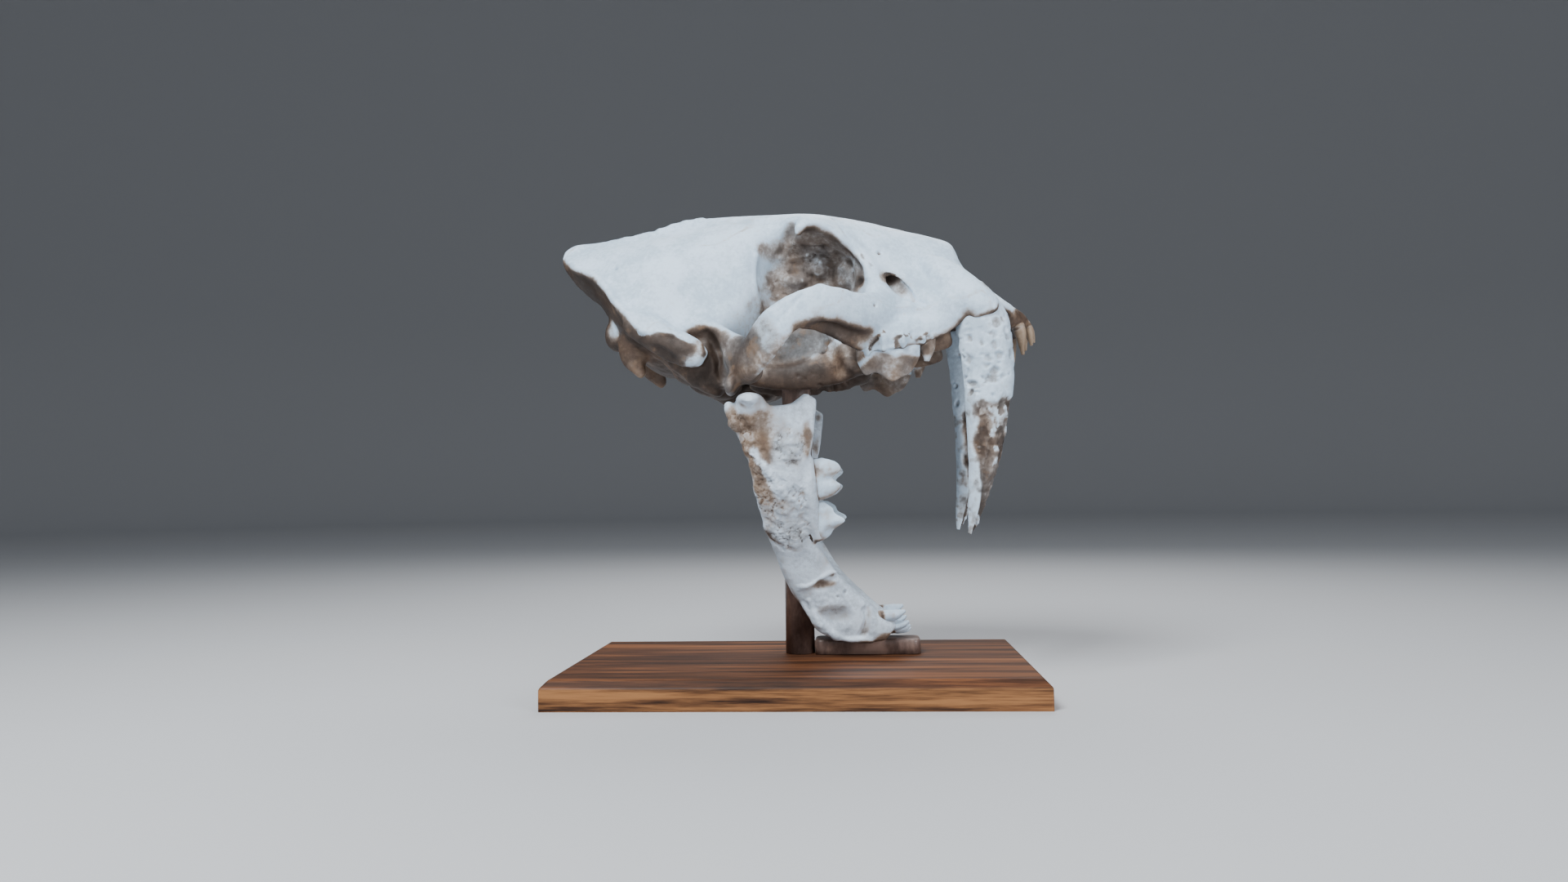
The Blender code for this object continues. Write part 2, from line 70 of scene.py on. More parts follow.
# %% [markdown]
# ## The camera
# The photograph was taken from a little below the middle of the skull, almost square to
# its right side. A wide lens stands close, which is why the near side looks larger. The
# camera is made first, because each later piece is judged through it.

# %% Camera
CAMERA_PLACE = (0.03997, -0.7201, 0.1255)
CAMERA_YAW, CAMERA_PITCH, CAMERA_ROLL = 3.9, 2.83, -0.9
CAMERA_LENS = 24.44
eye = bpy.data.objects.new("camera", bpy.data.cameras.new("camera"))
eye.data.lens = CAMERA_LENS
eye.data.sensor_width = 36.0
eye.data.clip_start = 0.01
turn = (Matrix.Rotation(math.radians(CAMERA_YAW), 4, "Z")
        @ Matrix.Rotation(math.radians(90 + CAMERA_PITCH), 4, "X")
        @ Matrix.Rotation(math.radians(CAMERA_ROLL), 4, "Z"))
eye.matrix_world = Matrix.Translation(CAMERA_PLACE) @ turn
bpy.context.scene.collection.objects.link(eye)
bpy.context.scene.camera = eye
print("lens", CAMERA_LENS, "mm")

# %% [markdown]
# ## Smooth rows
# A bone is drawn with a few stations that carry a place and a size. A smooth curve
# through them fills in the rest. A Catmull-Rom curve passes through every station, so
# what is measured stays where it was measured.


# %% Smooth rows
def curve_point(a, b, c, d, u):
    """The point a share u of the way from b to c, on a Catmull-Rom curve."""
    return 0.5 * (2 * b + (c - a) * u + (2 * a - 5 * b + 4 * c - d) * u ** 2
                  + (3 * b - a - 3 * c + d) * u ** 3)


def smooth_row(points, count):
    """Points on a smooth open curve through the given ones."""
    given = np.array(points, dtype=float)
    first, last = 2 * given[0] - given[1], 2 * given[-1] - given[-2]
    row = np.concatenate([first[None], given, last[None]])
    out = []
    for place in np.linspace(0, len(given) - 1, count):
        k = min(int(place), len(given) - 2)
        out.append(curve_point(*row[k:k + 4], place - k))
    return np.array(out)


def smooth_loop(points, steps):
    """Points on a smooth closed curve through the given ones, a few to each gap."""
    given = np.array(points, dtype=float)
    closed = np.concatenate([given[-1:], given, given[:2]])
    shares = np.arange(steps) / steps
    return np.array([curve_point(*closed[k:k + 4], u) for k in range(len(given)) for u in shares])


def mirrored(stations, side):
    """The same stations on the right side, or on the left one where side is -1."""
    return [(row[0], row[1] * side) + tuple(row[2:]) for row in stations]


# %% [markdown]
# ## Rings and skins
# Most bones here are tubes whose section changes. Each section starts as a circle from
# `create_circle`, is moved to its outline, and is joined to the next with
# `bridge_loops`. That is the same work as Bridge Edge Loops in the editor.


# %% Rings and skins
def fresh_ring(bm, sides):
    """The corners of a new ring of radius 1."""
    return bmesh.ops.create_circle(bm, cap_ends=False, segments=sides, radius=1.0)["verts"]


def edges_of(corners):
    """The edges of a fresh ring, in a steady order."""
    return list(dict.fromkeys(edge for corner in corners for edge in corner.link_edges))


def skin(bm, rings):
    """Joins a row of rings with faces and closes the two ends."""
    for near, far in zip(rings, rings[1:]):
        bmesh.ops.bridge_loops(bm, edges=near + far)
    for end in (rings[0], rings[-1]):
        bmesh.ops.edgeloop_fill(bm, edges=end)


def outline_ring(bm, points):
    """A ring that follows the given outline."""
    corners = fresh_ring(bm, len(points))
    for corner, point in zip(corners, points):
        corner.co = point
    return edges_of(corners)


def oval_ring(bm, sides, centre, slope, upward, radii, square):
    """An oval ring square to a slope; a square of 2 is an ellipse, more is boxier."""
    across = slope.cross(upward).normalized()
    rise = across.cross(slope)
    corners = fresh_ring(bm, sides)
    for corner in corners:
        x, y = (math.copysign(abs(v) ** (2 / square), v) for v in corner.co.xy)
        corner.co = centre + rise * (y * radii[0]) + across * (x * radii[1])
    return edges_of(corners)


def bar(bm, stations, count=26, sides=18, square=2.0, upward=(0, 0, 1)):
    """Rod along stations of X, Y, Z, upright radius and sideways radius."""
    path = smooth_row(stations, count)
    slopes = np.gradient(path[:, :3], axis=0)
    slopes /= np.linalg.norm(slopes, axis=1)[:, None]
    skin(bm, [oval_ring(bm, sides, Vector(row[:3]), Vector(slope), Vector(upward), row[3:5], square)
              for row, slope in zip(path, slopes)])


def lump(bm, centre, radii, turn=0.0, side=1):
    """Ellipsoid, turned about Y in degrees."""
    place = (Matrix.Translation((centre[0], centre[1] * side, centre[2]))
             @ Matrix.Rotation(math.radians(turn), 4, "Y") @ Matrix.Diagonal((*radii, 1)))
    bmesh.ops.create_uvsphere(bm, u_segments=28, v_segments=18, radius=1.0, matrix=place)


# %% [markdown]
# ## From bmesh to piece
# A finished bmesh becomes an object whose place is in its mesh, as the CAD nodes are.
# Modifiers such as Remesh then work on it, and settling turns their result into the
# mesh itself, so that code can carve it further.


# %% Pieces and modifiers
def new_piece(name, bm):
    """Object from a bmesh that was drawn in millimetres."""
    bmesh.ops.recalc_face_normals(bm, faces=bm.faces)
    bmesh.ops.transform(bm, matrix=TO_FRAME, verts=bm.verts)
    mesh = bpy.data.meshes.new(name)
    bm.to_mesh(mesh)
    bm.free()
    piece = bpy.data.objects.new(name, mesh)
    bpy.context.scene.collection.objects.link(piece)
    return piece


def settle(piece):
    """Turns a piece's modifiers into its mesh."""
    bpy.context.view_layer.update()
    graph = bpy.context.evaluated_depsgraph_get()
    made = bpy.data.meshes.new_from_object(piece.evaluated_get(graph))
    spent = piece.data
    piece.modifiers.clear()
    piece.data = made
    bpy.data.meshes.remove(spent)
    made.name = piece.name


def fuse(piece, voxel, passes):
    """Joins overlapping shapes into one skin of small even faces."""
    remesh = piece.modifiers.new("fused", "REMESH")
    remesh.mode = "VOXEL"
    remesh.voxel_size = voxel * MM
    soften = piece.modifiers.new("softened", "SMOOTH")
    soften.factor = 0.5
    soften.iterations = passes
    settle(piece)


def take_out(piece, cutter):
    """Cuts one shape out of a piece and throws the cutter away."""
    hole = piece.modifiers.new("cut", "BOOLEAN")
    hole.operation = "DIFFERENCE"
    hole.solver = "EXACT"
    hole.object = cutter
    settle(piece)
    spent = cutter.data
    bpy.data.objects.remove(cutter)
    bpy.data.meshes.remove(spent)


def triangles(piece):
    """How many triangles a piece has."""
    return sum(len(face.vertices) - 2 for face in piece.data.polygons)


def thin_out(piece, most):
    """Drops the least needed faces until a piece has at most so many triangles."""
    fewer = piece.modifiers.new("thinned", "DECIMATE")
    fewer.ratio = min(1.0, most / triangles(piece))
    settle(piece)


# %% [markdown]
# ## Steady randomness
# Bone is never even, but the lesson has to give the same skull each time. Instead of a
# random stream, each cell of a grid gets its own number from its place. Soft patches
# come from blending those numbers, and pits from scattering one point in each cell.


# %% Patches and pits
def cell_number(cell, seed):
    """A steady number from 0 to 1 for each cell of a grid."""
    mixed = (cell * (73856093, 19349663, 83492791)).T
    mixed = mixed[0] ^ mixed[1] ^ mixed[2] ^ (seed * 40503 + 977)
    mixed = (mixed ^ (mixed >> 13)) * 1274126177
    return ((mixed ^ (mixed >> 16)) & 0xFFFFFF) / 0xFFFFFF


def patches(points, size, seed=0, layers=3):
    """Soft random patches, about -1 to 1, of the given size and smaller."""
    total = np.zeros(len(points))
    for layer in range(layers):
        place = points * (2 ** layer / size)
        cell = np.floor(place).astype(np.int64)
        part = place - cell
        part = part * part * (3 - 2 * part)
        value = np.zeros(len(points))
        for corner in product((0, 1), repeat=3):
            share = np.prod(np.where(corner, part, 1 - part), axis=1)
            value += share * cell_number(cell + corner, seed * 17 + layer)
        total += (2 * value - 1) / 2 ** layer
    return total


def scattered(points, size, seed=0):
    """Distance to the nearest scattered spot, and that spot's own number."""
    place = points / size
    cell = np.floor(place).astype(np.int64)
    nearest, own = np.full(len(points), 9.0), np.zeros(len(points))
    for step in product((-1, 0, 1), repeat=3):
        near = cell + step
        spot = near + np.stack([cell_number(near, seed * 31 + axis) for axis in range(3)], axis=1)
        away = np.linalg.norm(place - spot, axis=1)
        closer = away < nearest
        nearest = np.where(closer, away, nearest)
        own = np.where(closer, cell_number(near, seed * 31 + 7), own)
    return nearest, own


def bent(points, size, reach, seed):
    """The points moved a little by soft noise, for wavy edges on what is drawn there."""
    return points + reach * np.stack([patches(points, size, seed + axis, 2) for axis in range(3)], axis=1)


def layers(points, size, seed, steps=2.2):
    """Flat terraces with broken edges, about -2 to 2, as where thin layers have flaked off."""
    value = steps * patches(points, size, seed, 3)
    floor = np.floor(value)
    return floor + ease(0.40, 0.60, value - floor)


def cracks(points, size, seed):
    """1 along wandering hairlines, 0 elsewhere."""
    return ease(0.07, 0.01, np.abs(patches(points, size, seed, 3)))


def ease(low, high, value):
    """Smooth step from 0 at low to 1 at high."""
    part = np.clip((value - low) / (high - low), 0, 1)
    return part * part * (3 - 2 * part)


# %% [markdown]
# ## Carving
# Sutures, ridges and pits are small next to the bone, so they are carved as a sculptor
# would: each stroke pushes the points near it in or out along the surface. A stroke
# given for the right side is repeated on the left, because a skull is symmetrical.


# %% Carving tools
def to_millimetres(places):
    """Places of the frame as millimetres from the mid-plane."""
    return np.asarray(places) / MM - (0, MID_PLANE_SHIFT, 0)


def to_metres(points):
    """Millimetres from the mid-plane as places of the frame."""
    return (points + (0, MID_PLANE_SHIFT, 0)) * MM


class Clay:
    """Points and outward directions of a piece while it is carved, in millimetres."""

    def __init__(self, piece):
        self.piece = piece
        self.read()

    def read(self):
        """Takes the points and their outward directions from the mesh."""
        flat = np.empty(len(self.piece.data.vertices) * 3)
        self.piece.data.vertices.foreach_get("co", flat)
        self.points = to_millimetres(flat.reshape(-1, 3))
        self.piece.data.vertex_normals.foreach_get("vector", flat)
        self.outward = flat.reshape(-1, 3).copy()

    def write(self):
        """Gives the points back to the mesh and reads the new directions."""
        self.piece.data.vertices.foreach_set("co", to_metres(self.points).ravel())
        self.piece.data.update()
        self.read()

    def push(self, amount):
        """Moves every point outwards by its own amount."""
        self.points += self.outward * amount[:, None]

    def stroke(self, path, width, height, ragged=0.0):
        """Raises a ridge along a path, or sinks a groove where the height is negative."""
        for side in (1, -1):
            near, share = beside(self.points, path, width, side, ragged)
            self.points[near] += self.outward[near] * (height * share ** 2)[:, None]

    def dent(self, centre, radii, depth):
        """Presses a rounded hollow, or raises a swelling where the depth is negative."""
        for side in (1, -1):
            share = nearness(self.points, centre, radii, side) ** 2
            self.points -= self.outward * (depth * share)[:, None]


def line_distance(spots, line):
    """Distance from each spot to a line of short stretches."""
    best = np.full(len(spots), 1e9)
    for start, end in zip(line, line[1:]):
        reach = end - start
        along = np.clip((spots - start) @ reach / max(reach @ reach, 1e-9), 0, 1)
        best = np.minimum(best, np.linalg.norm(spots - start - along[:, None] * reach, axis=1))
    return best


def beside(points, path, width, side, ragged=0.0):
    """Which points lie near a path, and for each 1 on the path, falling to 0 at its width."""
    line = smooth_row(mirrored(path, side), 5 * len(path))
    low, high = line.min(axis=0) - width, line.max(axis=0) + width
    near = np.flatnonzero(((points > low) & (points < high)).all(axis=1))
    away = line_distance(points[near], line)
    if ragged:
        away = away * (1 + ragged * patches(points[near], 2.5 * width, 3, 2))
    return near, np.clip(1 - (away / width) ** 2, 0, 1)


def nearness(points, centre, radii, side=1):
    """1 at the middle of an ellipsoid, falling to 0 at its surface."""
    offset = (points - np.array(centre) * (1, side, 1)) / radii
    return np.clip(1 - (offset ** 2).sum(axis=1), 0, 1)


# %% [markdown]
# ## The cranium's main shapes
# Seen from the side, the cranium is a long wedge with a high crest behind and a short
# deep muzzle. Cross-sections give that wedge. Cheek arches, eye rims, tooth roots and
# the crest at the back are bars of changing thickness laid over it. The overlapping
# shapes are fused later, which is quicker than modelling every junction by hand.

# %% Cranium measures
# X of each cross-section, and Y and Z round its one half from the top to the bottom.
CRANIUM_SECTIONS = (
    (-161.0, ((0, 296), (4, 295), (9, 291), (10, 288), (6, 285), (0, 284))),
    (-152.0, ((0, 301), (6, 299), (15, 289), (19, 281), (12, 275), (0, 272))),
    (-137.0, ((0, 303), (6, 299), (18, 290), (28, 275), (20, 264), (0, 259))),
    (-122.0, ((0, 306), (6, 300), (26, 288), (41, 262), (32, 246), (0, 238))),
    (-107.0, ((0, 309), (6, 302), (34, 284), (53, 243), (42, 227), (0, 218))),
    (-90.0, ((0, 312.5), (6, 305), (39, 285), (58, 240), (46, 217), (0, 207))),
    (-68.0, ((0, 317), (6, 310), (38, 287), (51, 250), (54, 226), (0, 206))),
    (-45.0, ((0, 318), (9, 312), (36, 291), (45, 256), (50, 224), (0, 208))),
    (-26.0, ((0, 317), (16, 312.5), (34, 296), (41, 262), (31, 228), (0, 212))),
    (-16.0, ((0, 316.5), (19, 312), (31, 297), (25, 266), (20, 234), (0, 217))),
    (-6.0, ((0, 316.5), (23, 311), (34, 299), (24, 272), (18, 240), (0, 223))),
    (8.0, ((0, 316), (32, 309), (45, 299), (23, 277), (18, 246), (0, 226))),
    (22.0, ((0, 315), (30, 307.5), (44, 296), (23, 276), (20, 247), (0, 229))),
    (36.0, ((0, 312), (26, 306), (42, 290), (27, 269), (27, 247), (0, 232))),
    (50.0, ((0, 309), (23, 304), (39, 290), (48, 264), (51, 240), (0, 234))),
    (68.0, ((0, 304.5), (20, 300), (32, 290), (45, 266), (53, 238), (0, 236))),
    (86.0, ((0, 300), (17, 296), (28, 285), (40, 265), (53, 238), (0, 238))),
    (103.0, ((0, 295), (15, 291), (25, 280), (39, 262), (51, 242), (0, 239))),
    (107.5, ((0, 291), (14, 287), (25, 276), (39, 260), (51, 243), (0, 239.5))),
    (112.0, ((0, 282), (15, 277), (25, 270), (39, 257), (50, 244), (0, 240))),
    (124.0, ((0, 267), (14, 265), (24, 261), (37, 253), (47, 245), (0, 240))),
    (138.0, ((0, 254), (13, 252.5), (23, 250.5), (33, 247), (38, 241), (0, 237))),
    (149.0, ((0, 245), (10, 245), (18, 244), (24, 240), (23, 235), (0, 233))),
    (155.0, ((0, 239), (7, 239), (12, 238), (16, 236), (13, 233), (0, 232))),
)
# Bars: each station has X, Y, Z, an upright radius and a sideways radius.
CHEEK_ARCH = (
    (68, -47, 242, 13, 6), (55, -58, 238, 14, 8), (42, -71, 237, 12.5, 6),
    (26, -85, 240, 12, 4.5), (9, -92.5, 236.5, 11, 4), (-5, -93, 228.5, 12, 4),
    (-15, -89.5, 217, 14, 4.5), (-24, -80.5, 208.5, 14, 6), (-32, -66, 208, 14, 9),
    (-38, -50, 214, 13, 13),
)
ORBIT_RIM = (
    (50, -50, 246, 4.5, 6), (53, -49, 258, 4, 5), (49.5, -46.5, 272, 3.8, 4.6),
    (41, -43.5, 284, 4, 4.2), (28, -42.5, 293, 4.5, 4), (16, -46, 298, 5, 4.5),
    (9, -49.5, 298.5, 5, 4.5), (6, -52, 294, 3.8, 3.4), (6.5, -53.5, 289, 1.6, 1.6),
)
CANINE_BULGE = (
    (84, -33, 274, 8, 7), (98, -39, 262, 13, 9), (111, -42, 250, 14, 11.5), (121, -43, 244, 11.5, 12.5),
    (129, -40, 244, 7, 10),
)
ARCH_SHELF = (
    (60, -50, 218, 8, 5), (46, -57, 220, 8, 4.5), (34, -67, 224, 7, 4), (20, -78, 228.5, 6, 3.5),
    (6, -88, 229, 5, 3),
)
MASTOID_LOBE = (
    (-104, -54, 238, 9, 8), (-88, -60, 229, 11, 8), (-72, -63, 218, 10, 8), (-62, -63, 213, 8, 7),
    (-56, -62, 211, 5, 5),
)
PAROCCIPITAL_HOOK = (
    (-109, -31, 230, 10, 9), (-107, -34, 218, 9, 7), (-102, -37, 209, 5.5, 4), (-99, -38, 203, 2.2, 2.2),
)
SKULL_BASE = (
    (-104, -38, 234, 8, 9), (-92, -42, 229, 9, 9), (-79, -44, 220, 11, 9), (-66, -45, 210, 12, 9),
    (-53, -46, 201, 11, 8), (-43, -46, 195, 9, 7),
)
EAR_WALL = ((-72, -45, 219, 12, 8), (-59, -48, 215, 16, 8), (-48, -51, 210, 17, 8), (-38, -54, 206, 15, 8))
PALATE_EDGE = (
    (23, -12, 250, 9, 9), (30, -17, 235, 10, 11), (37, -24, 221, 9, 12), (42, -30, 210, 7, 11),
    (46, -35, 203, 3, 6),
)
PTERYGOID_PLATE = (
    (64, -38, 230, 8, 6), (50, -34, 223, 12, 5), (36, -29, 212, 13, 3.8), (22, -24, 208, 13, 3.2),
    (6, -22, 203, 10, 3), (-10, -22, 202, 8.5, 3), (-22, -22, 203, 8, 4), (-34, -22, 206, 7, 5),
)
GUM_WALL = (
    (78, -39, 224, 11, 4.5), (86, -38.5, 225.5, 12, 5), (94, -37.5, 227, 12, 5), (101, -36.5, 229, 11, 4.5),
)
THROAT_WALL = (
    (44, -24, 226, 13, 4), (28, -18, 221, 17, 3), (10, -16, 219, 18, 3), (-10, -16, 218, 17, 3.4),
    (-28, -17, 214, 13, 4),
)
CHEEK_TOOTH_RIDGE = (
    (30, -49, 237, 2.5, 2.5), (38, -52, 231, 7, 5.5), (47, -54, 226, 10.5, 8), (60, -54.5, 223.5, 11, 8.5),
    (76, -52, 225.5, 10.5, 8), (90, -48, 231, 8.5, 6), (102, -45.5, 237, 8, 6), (116, -43, 244, 5, 5),
)
# The right half of this ridge; it runs on across the mid-plane.
FRONT_TOOTH_RIDGE = (
    (130, -29, 240, 6, 5), (143, -23, 237, 6, 6), (150.5, -13, 235, 5.5, 6), (153, 0, 234, 5, 6),
)
NUCHAL_CREST = (
    (-156, -3, 292, 5, 5), (-147, -18, 282, 3.5, 4.5), (-136, -28, 274, 3.5, 4), (-122, -41, 262, 3.5, 4),
    (-109, -52, 245, 4, 4), (-101, -58, 235, 4, 4), (-90, -60, 232, 4, 4), (-76, -62, 229, 4, 4),
    (-66, -65, 224, 4, 4), (-58, -65, 218, 4.5, 4.5), (-55, -64, 212, 4, 4),
)
ROOT_RIDGE = ((-60, -49, 238, 5, 6), (-49, -54, 231, 5, 6), (-39, -63, 223, 6, 6), (-30, -72, 217, 7, 6))
# Lumps: centre, radii and a turn in degrees.
CRANIUM_LUMPS = (
    ((-117, -17, 235), (12, 11, 13), 30),
    ((-62, -31, 207), (22, 13, 12), 20),
    ((-27, -66, 203), (10, 18, 9), 0),
    ((-37, -66, 194), (4.5, 15, 8), 15),
    ((20, -87, 247), (7, 4, 6), 0),
)


# %% Cranium shapes
def cranium_shapes():
    """All the overlapping shapes of the cranium in one bmesh."""
    bm = bmesh.new()
    outlines = []
    for x, half in CRANIUM_SECTIONS:
        loop = [(y, z) for y, z in half] + [(-y, z) for y, z in reversed(half[1:-1])]
        outlines.append([(x, y, z) for y, z in smooth_loop(loop, 5)])
    skin(bm, [outline_ring(bm, points) for points in smooth_row(outlines, 4 * len(outlines))])
    bar(bm, [*FRONT_TOOTH_RIDGE, *mirrored(FRONT_TOOTH_RIDGE[-2::-1], -1)])
    for side, _ in SIDES:
        for stations in (CHEEK_ARCH, ARCH_SHELF, CANINE_BULGE, MASTOID_LOBE, PAROCCIPITAL_HOOK,
                         SKULL_BASE, EAR_WALL, PALATE_EDGE, PTERYGOID_PLATE, THROAT_WALL, GUM_WALL,
                         CHEEK_TOOTH_RIDGE, NUCHAL_CREST, ROOT_RIDGE):
            bar(bm, mirrored(stations, side))
        bar(bm, mirrored(ORBIT_RIM, side), upward=(0, 1, 0))
        for centre, radii, turned in CRANIUM_LUMPS:
            lump(bm, centre, radii, turned, side)
    return bm


cranium = new_piece("cranium_bone", cranium_shapes())
print("cranium shapes:", len(cranium.data.polygons), "faces before fusing")

# %% [markdown]
# ## Hollows of the cranium
# The nose, the hole below each eye, the jaw socket and the spinal opening go deep, so
# they are cut out and not pushed in. A Boolean cuts best with simple closed shapes that
# don't touch each other. A second fuse rounds the cut edges as weathering does.

# %% Hollows
PAIRED_HOLLOWS = (
    ((-25, -66, 187), (9.5, 20, 7.5), 0),
    ((-82, -70, 213), (14, 7, 6), 28),
)
MIDDLE_HOLLOWS = (
    ((-128, 0, 244), (22, 11, 10), 35),
    ((-2, 0, 209), (34, 13.5, 9), 0),
)
CHEEK_FORAMEN = (
    (84, -61, 248, 3, 3), (76, -55, 251.5, 4.5, 4.5), (69, -49.5, 256.5, 4.4, 4.4),
    (62, -43.5, 261.5, 3, 3.8), (54, -39, 265, 2.8, 3.4), (44, -36, 267, 2.3, 2.6),
)
EAR_CHANNEL = (
    (-56, -64, 230, 4.5, 9), (-49, -64, 219, 4.5, 10), (-45, -64, 206, 4.5, 10), (-40, -62, 195, 3.5, 8),
)
NASAL_CAVITY = (
    (176, 0, 262, 14, 10), (150, 0, 264, 15, 14), (128, 0, 267.5, 17, 19), (104, 0, 269, 17.5, 19),
    (92, 0, 269, 15, 16),
)
NASAL_PASSAGE = ((97, 7.8, 268, 12, 6.4), (84, 7.4, 268, 10.5, 5.8), (74, 6.5, 267, 7, 4.5))
FIRST_VOXEL = 1.8
BONE_VOXEL = 1.1
MOST_TRIANGLES = 190000

hollows, passages = bmesh.new(), bmesh.new()
bar(hollows, NASAL_CAVITY, square=1.75)
for centre, radii, turned in MIDDLE_HOLLOWS:
    lump(hollows, centre, radii, turned)
for side, _ in SIDES:
    bar(passages, mirrored(NASAL_PASSAGE, side))
    bar(hollows, mirrored(CHEEK_FORAMEN, side))
    bar(hollows, mirrored(EAR_CHANNEL, side))
    for centre, radii, turned in PAIRED_HOLLOWS:
        lump(hollows, centre, radii, turned, side)
fuse(cranium, FIRST_VOXEL, 9)
take_out(cranium, new_piece("hollows", hollows))
take_out(cranium, new_piece("passages", passages))
fuse(cranium, BONE_VOXEL, 5)
print("cranium after fusing:", triangles(cranium), "triangles")

# %% [markdown]
# ## Carving the cranium
# Now the details that make it bone: seams between plates, the sharp rim at the back,
# swellings over the tooth roots, small holes for nerves and the broken thin bone inside
# the eye socket. Wide forms are carved first and fine ones last.

# %% Strokes on the cranium
ROOT_CREVICES = (
    ((49, -60, 214), (51, -61, 217.5), (54, -62, 220.5), (59, -63, 224)),
    ((64, -61, 213), (64.5, -62, 218), (67.5, -63, 222), (74, -62, 225)),
    ((75.5, -61, 225), (75.5, -60, 219), (76.5, -59, 214)),
    ((77, -59, 215), (80, -58, 219.5), (87, -55, 223)),
)
BROW_SEAM = ((28, -44, 302), (36, -46, 292), (47, -50, 279), (51, -51, 272))
NUCHAL_RIM = (
    (-156, -14, 288), (-148, -22, 280), (-132, -35, 272), (-122, -44, 262), (-115, -51, 252),
    (-104, -60, 241), (-98, -65, 233), (-93, -67, 229),
)
MASTOID_RIM = ((-93, -67, 229), (-80, -69, 228), (-68, -68, 224), (-61, -66, 219), (-57, -64, 213))
# Each stroke has a path, a width and a height or depth.
CRANIUM_RIDGES = (
    (NUCHAL_RIM, 4.0, 1.6),
    (MASTOID_RIM, 3.2, 1.2),
    (((-23, -37, 282), (-24, -39, 273), (-24, -39, 262), (-23, -36, 254), (-21, -32, 247)), 3.0, 1.2),
    (((6, -54, 295), (13, -51, 298), (22, -47, 298), (29, -47, 293), (35, -44, 284), (41, -45, 278),
      (48, -49, 271), (49, -50, 263)), 3.4, 1.0),
    (((44, -57, 213), (52, -60, 214.5), (62, -61, 215), (74, -60, 214.5), (82, -57, 216), (94, -52, 221)),
     2.6, 1.5),
    (((129, -52, 241), (119, -51, 237), (108, -50, 231), (98, -49, 227), (89, -53, 223)), 3.0, 1.1),
    (((47, -59, 219), (48, -59, 212)), 3.2, 1.6),
    (((58, -63, 223), (58, -61, 214)), 3.6, 2.6),
    (((70, -62, 223), (71, -60, 214)), 3.6, 2.8),
    (((83, -57, 222), (84, -55, 216)), 3.2, 2.2),
    (((10, -46, 304), (5, -47, 304), (-8, -33, 307), (-30, -19, 311), (-60, -8, 313)), 4.0, 0.9),
    (((8, -46, 305), (6, -50, 299), (5, -53, 292)), 2.6, 1.2),
    (((-12, -88, 232), (4, -95, 243), (16, -92, 250)), 4.0, 0.8),
    (((24, -24, 222), (27, -25, 209), (34, -24, 201)), 3.5, 1.8),
    (((-94, 0, 309), (-80, 0, 313), (-64, 0, 316)), 3.6, 0.9),
)
CRANIUM_GROOVES = (
    (((27, -28, 307), (36, -44, 292), (44, -47, 280), (51, -50, 268)), 2.0, 0.9),
    (ROOT_CREVICES[0], 1.6, 1.1),
    (ROOT_CREVICES[1], 1.6, 1.2),
    (ROOT_CREVICES[2], 1.6, 1.2),
    (ROOT_CREVICES[3], 1.5, 0.9),
    (((65, -47, 260), (72, -50, 254), (79, -53, 248), (86, -54, 244)), 4.0, 2.2),
    (((11, -95, 246), (3, -97, 237), (-6, -96, 228)), 2.0, 0.7),
    (((92, -46, 261), (100, -49, 259), (107, -51, 257)), 1.8, 0.5),
    (((62, -45, 264), (70, -49, 256), (80, -52, 249), (88, -53, 245)), 9.0, 2.2),
    (((2, -41, 304), (-2, -39, 298), (-5, -36, 290), (-8, -33, 283)), 7.5, 5.0),
    (((52, -57, 229), (40, -64, 230), (26, -76, 231)), 3.0, 0.7),
    (((-94, -50, 214), (-84, -50, 207), (-72, -46, 200), (-60, -42, 196)), 4.0, 1.6),
    (((-104, -48, 226), (-96, -52, 222), (-86, -56, 216)), 3.5, 1.8),
    (((19, -23, 220), (21, -23, 207), (25, -23, 198)), 3.2, 1.8),
    (((-24, -86, 218), (-19, -90, 208), (-13, -92, 200)), 2.4, 0.9),
    (BROW_SEAM, 1.6, 0.6),
)
# Each hole has a centre, radii and a depth.
CRANIUM_HOLES = (
    ((-117, -36, 276), (2.4, 3, 1.6), 2.2),
    ((-99, -25, 293), (2.0, 3, 1.4), 1.2),
    ((57, -42, 280), (2.2, 3, 2.2), 2.2),
    ((53, -69, 241), (1.8, 3, 1.8), 1.6),
    ((47, -30, 299), (2.0, 3, 1.6), 0.9),
    ((2, -21, 203), (2.4, 6, 2.2), 2.0),
    ((7, -21, 201), (2.6, 6, 1.8), 1.8),
    ((12, -21, 204), (2.2, 6, 2.6), 1.8),
    ((17, -22, 197), (4.0, 6, 2.2), 2.2),
    ((13.5, -27, 271), (3.4, 9, 4.2), 2.6),
    ((-1, -28, 268), (3.0, 9, 2.6), 1.6),
    ((26, -31, 291), (2.2, 9, 5.0), 2.6),
    ((36, -36, 274), (4.5, 10, 5.5), 2.0),
    ((-17, -48, 246), (5.0, 10, 3.0), 2.6),
    ((43, -42, 262), (5.0, 9, 4.0), 2.6),
)

clay = Clay(cranium)
for path, width, height in CRANIUM_RIDGES:
    clay.stroke(path, width, height, ragged=0.25)
clay.write()
for path, width, depth in CRANIUM_GROOVES:
    clay.stroke(path, width, -depth, ragged=0.35)
for centre, radii, depth in CRANIUM_HOLES:
    clay.dent(centre, radii, depth)
clay.write()


# %% Rough places on the cranium
def within(points, places):
    """How far each point is inside any of some ellipsoids, on both sides."""
    share = np.zeros(len(points))
    for centre, radii in places:
        for side in (1, -1):
            share = np.maximum(share, ease(0, 0.5, nearness(points, centre, radii, side)))
    return share


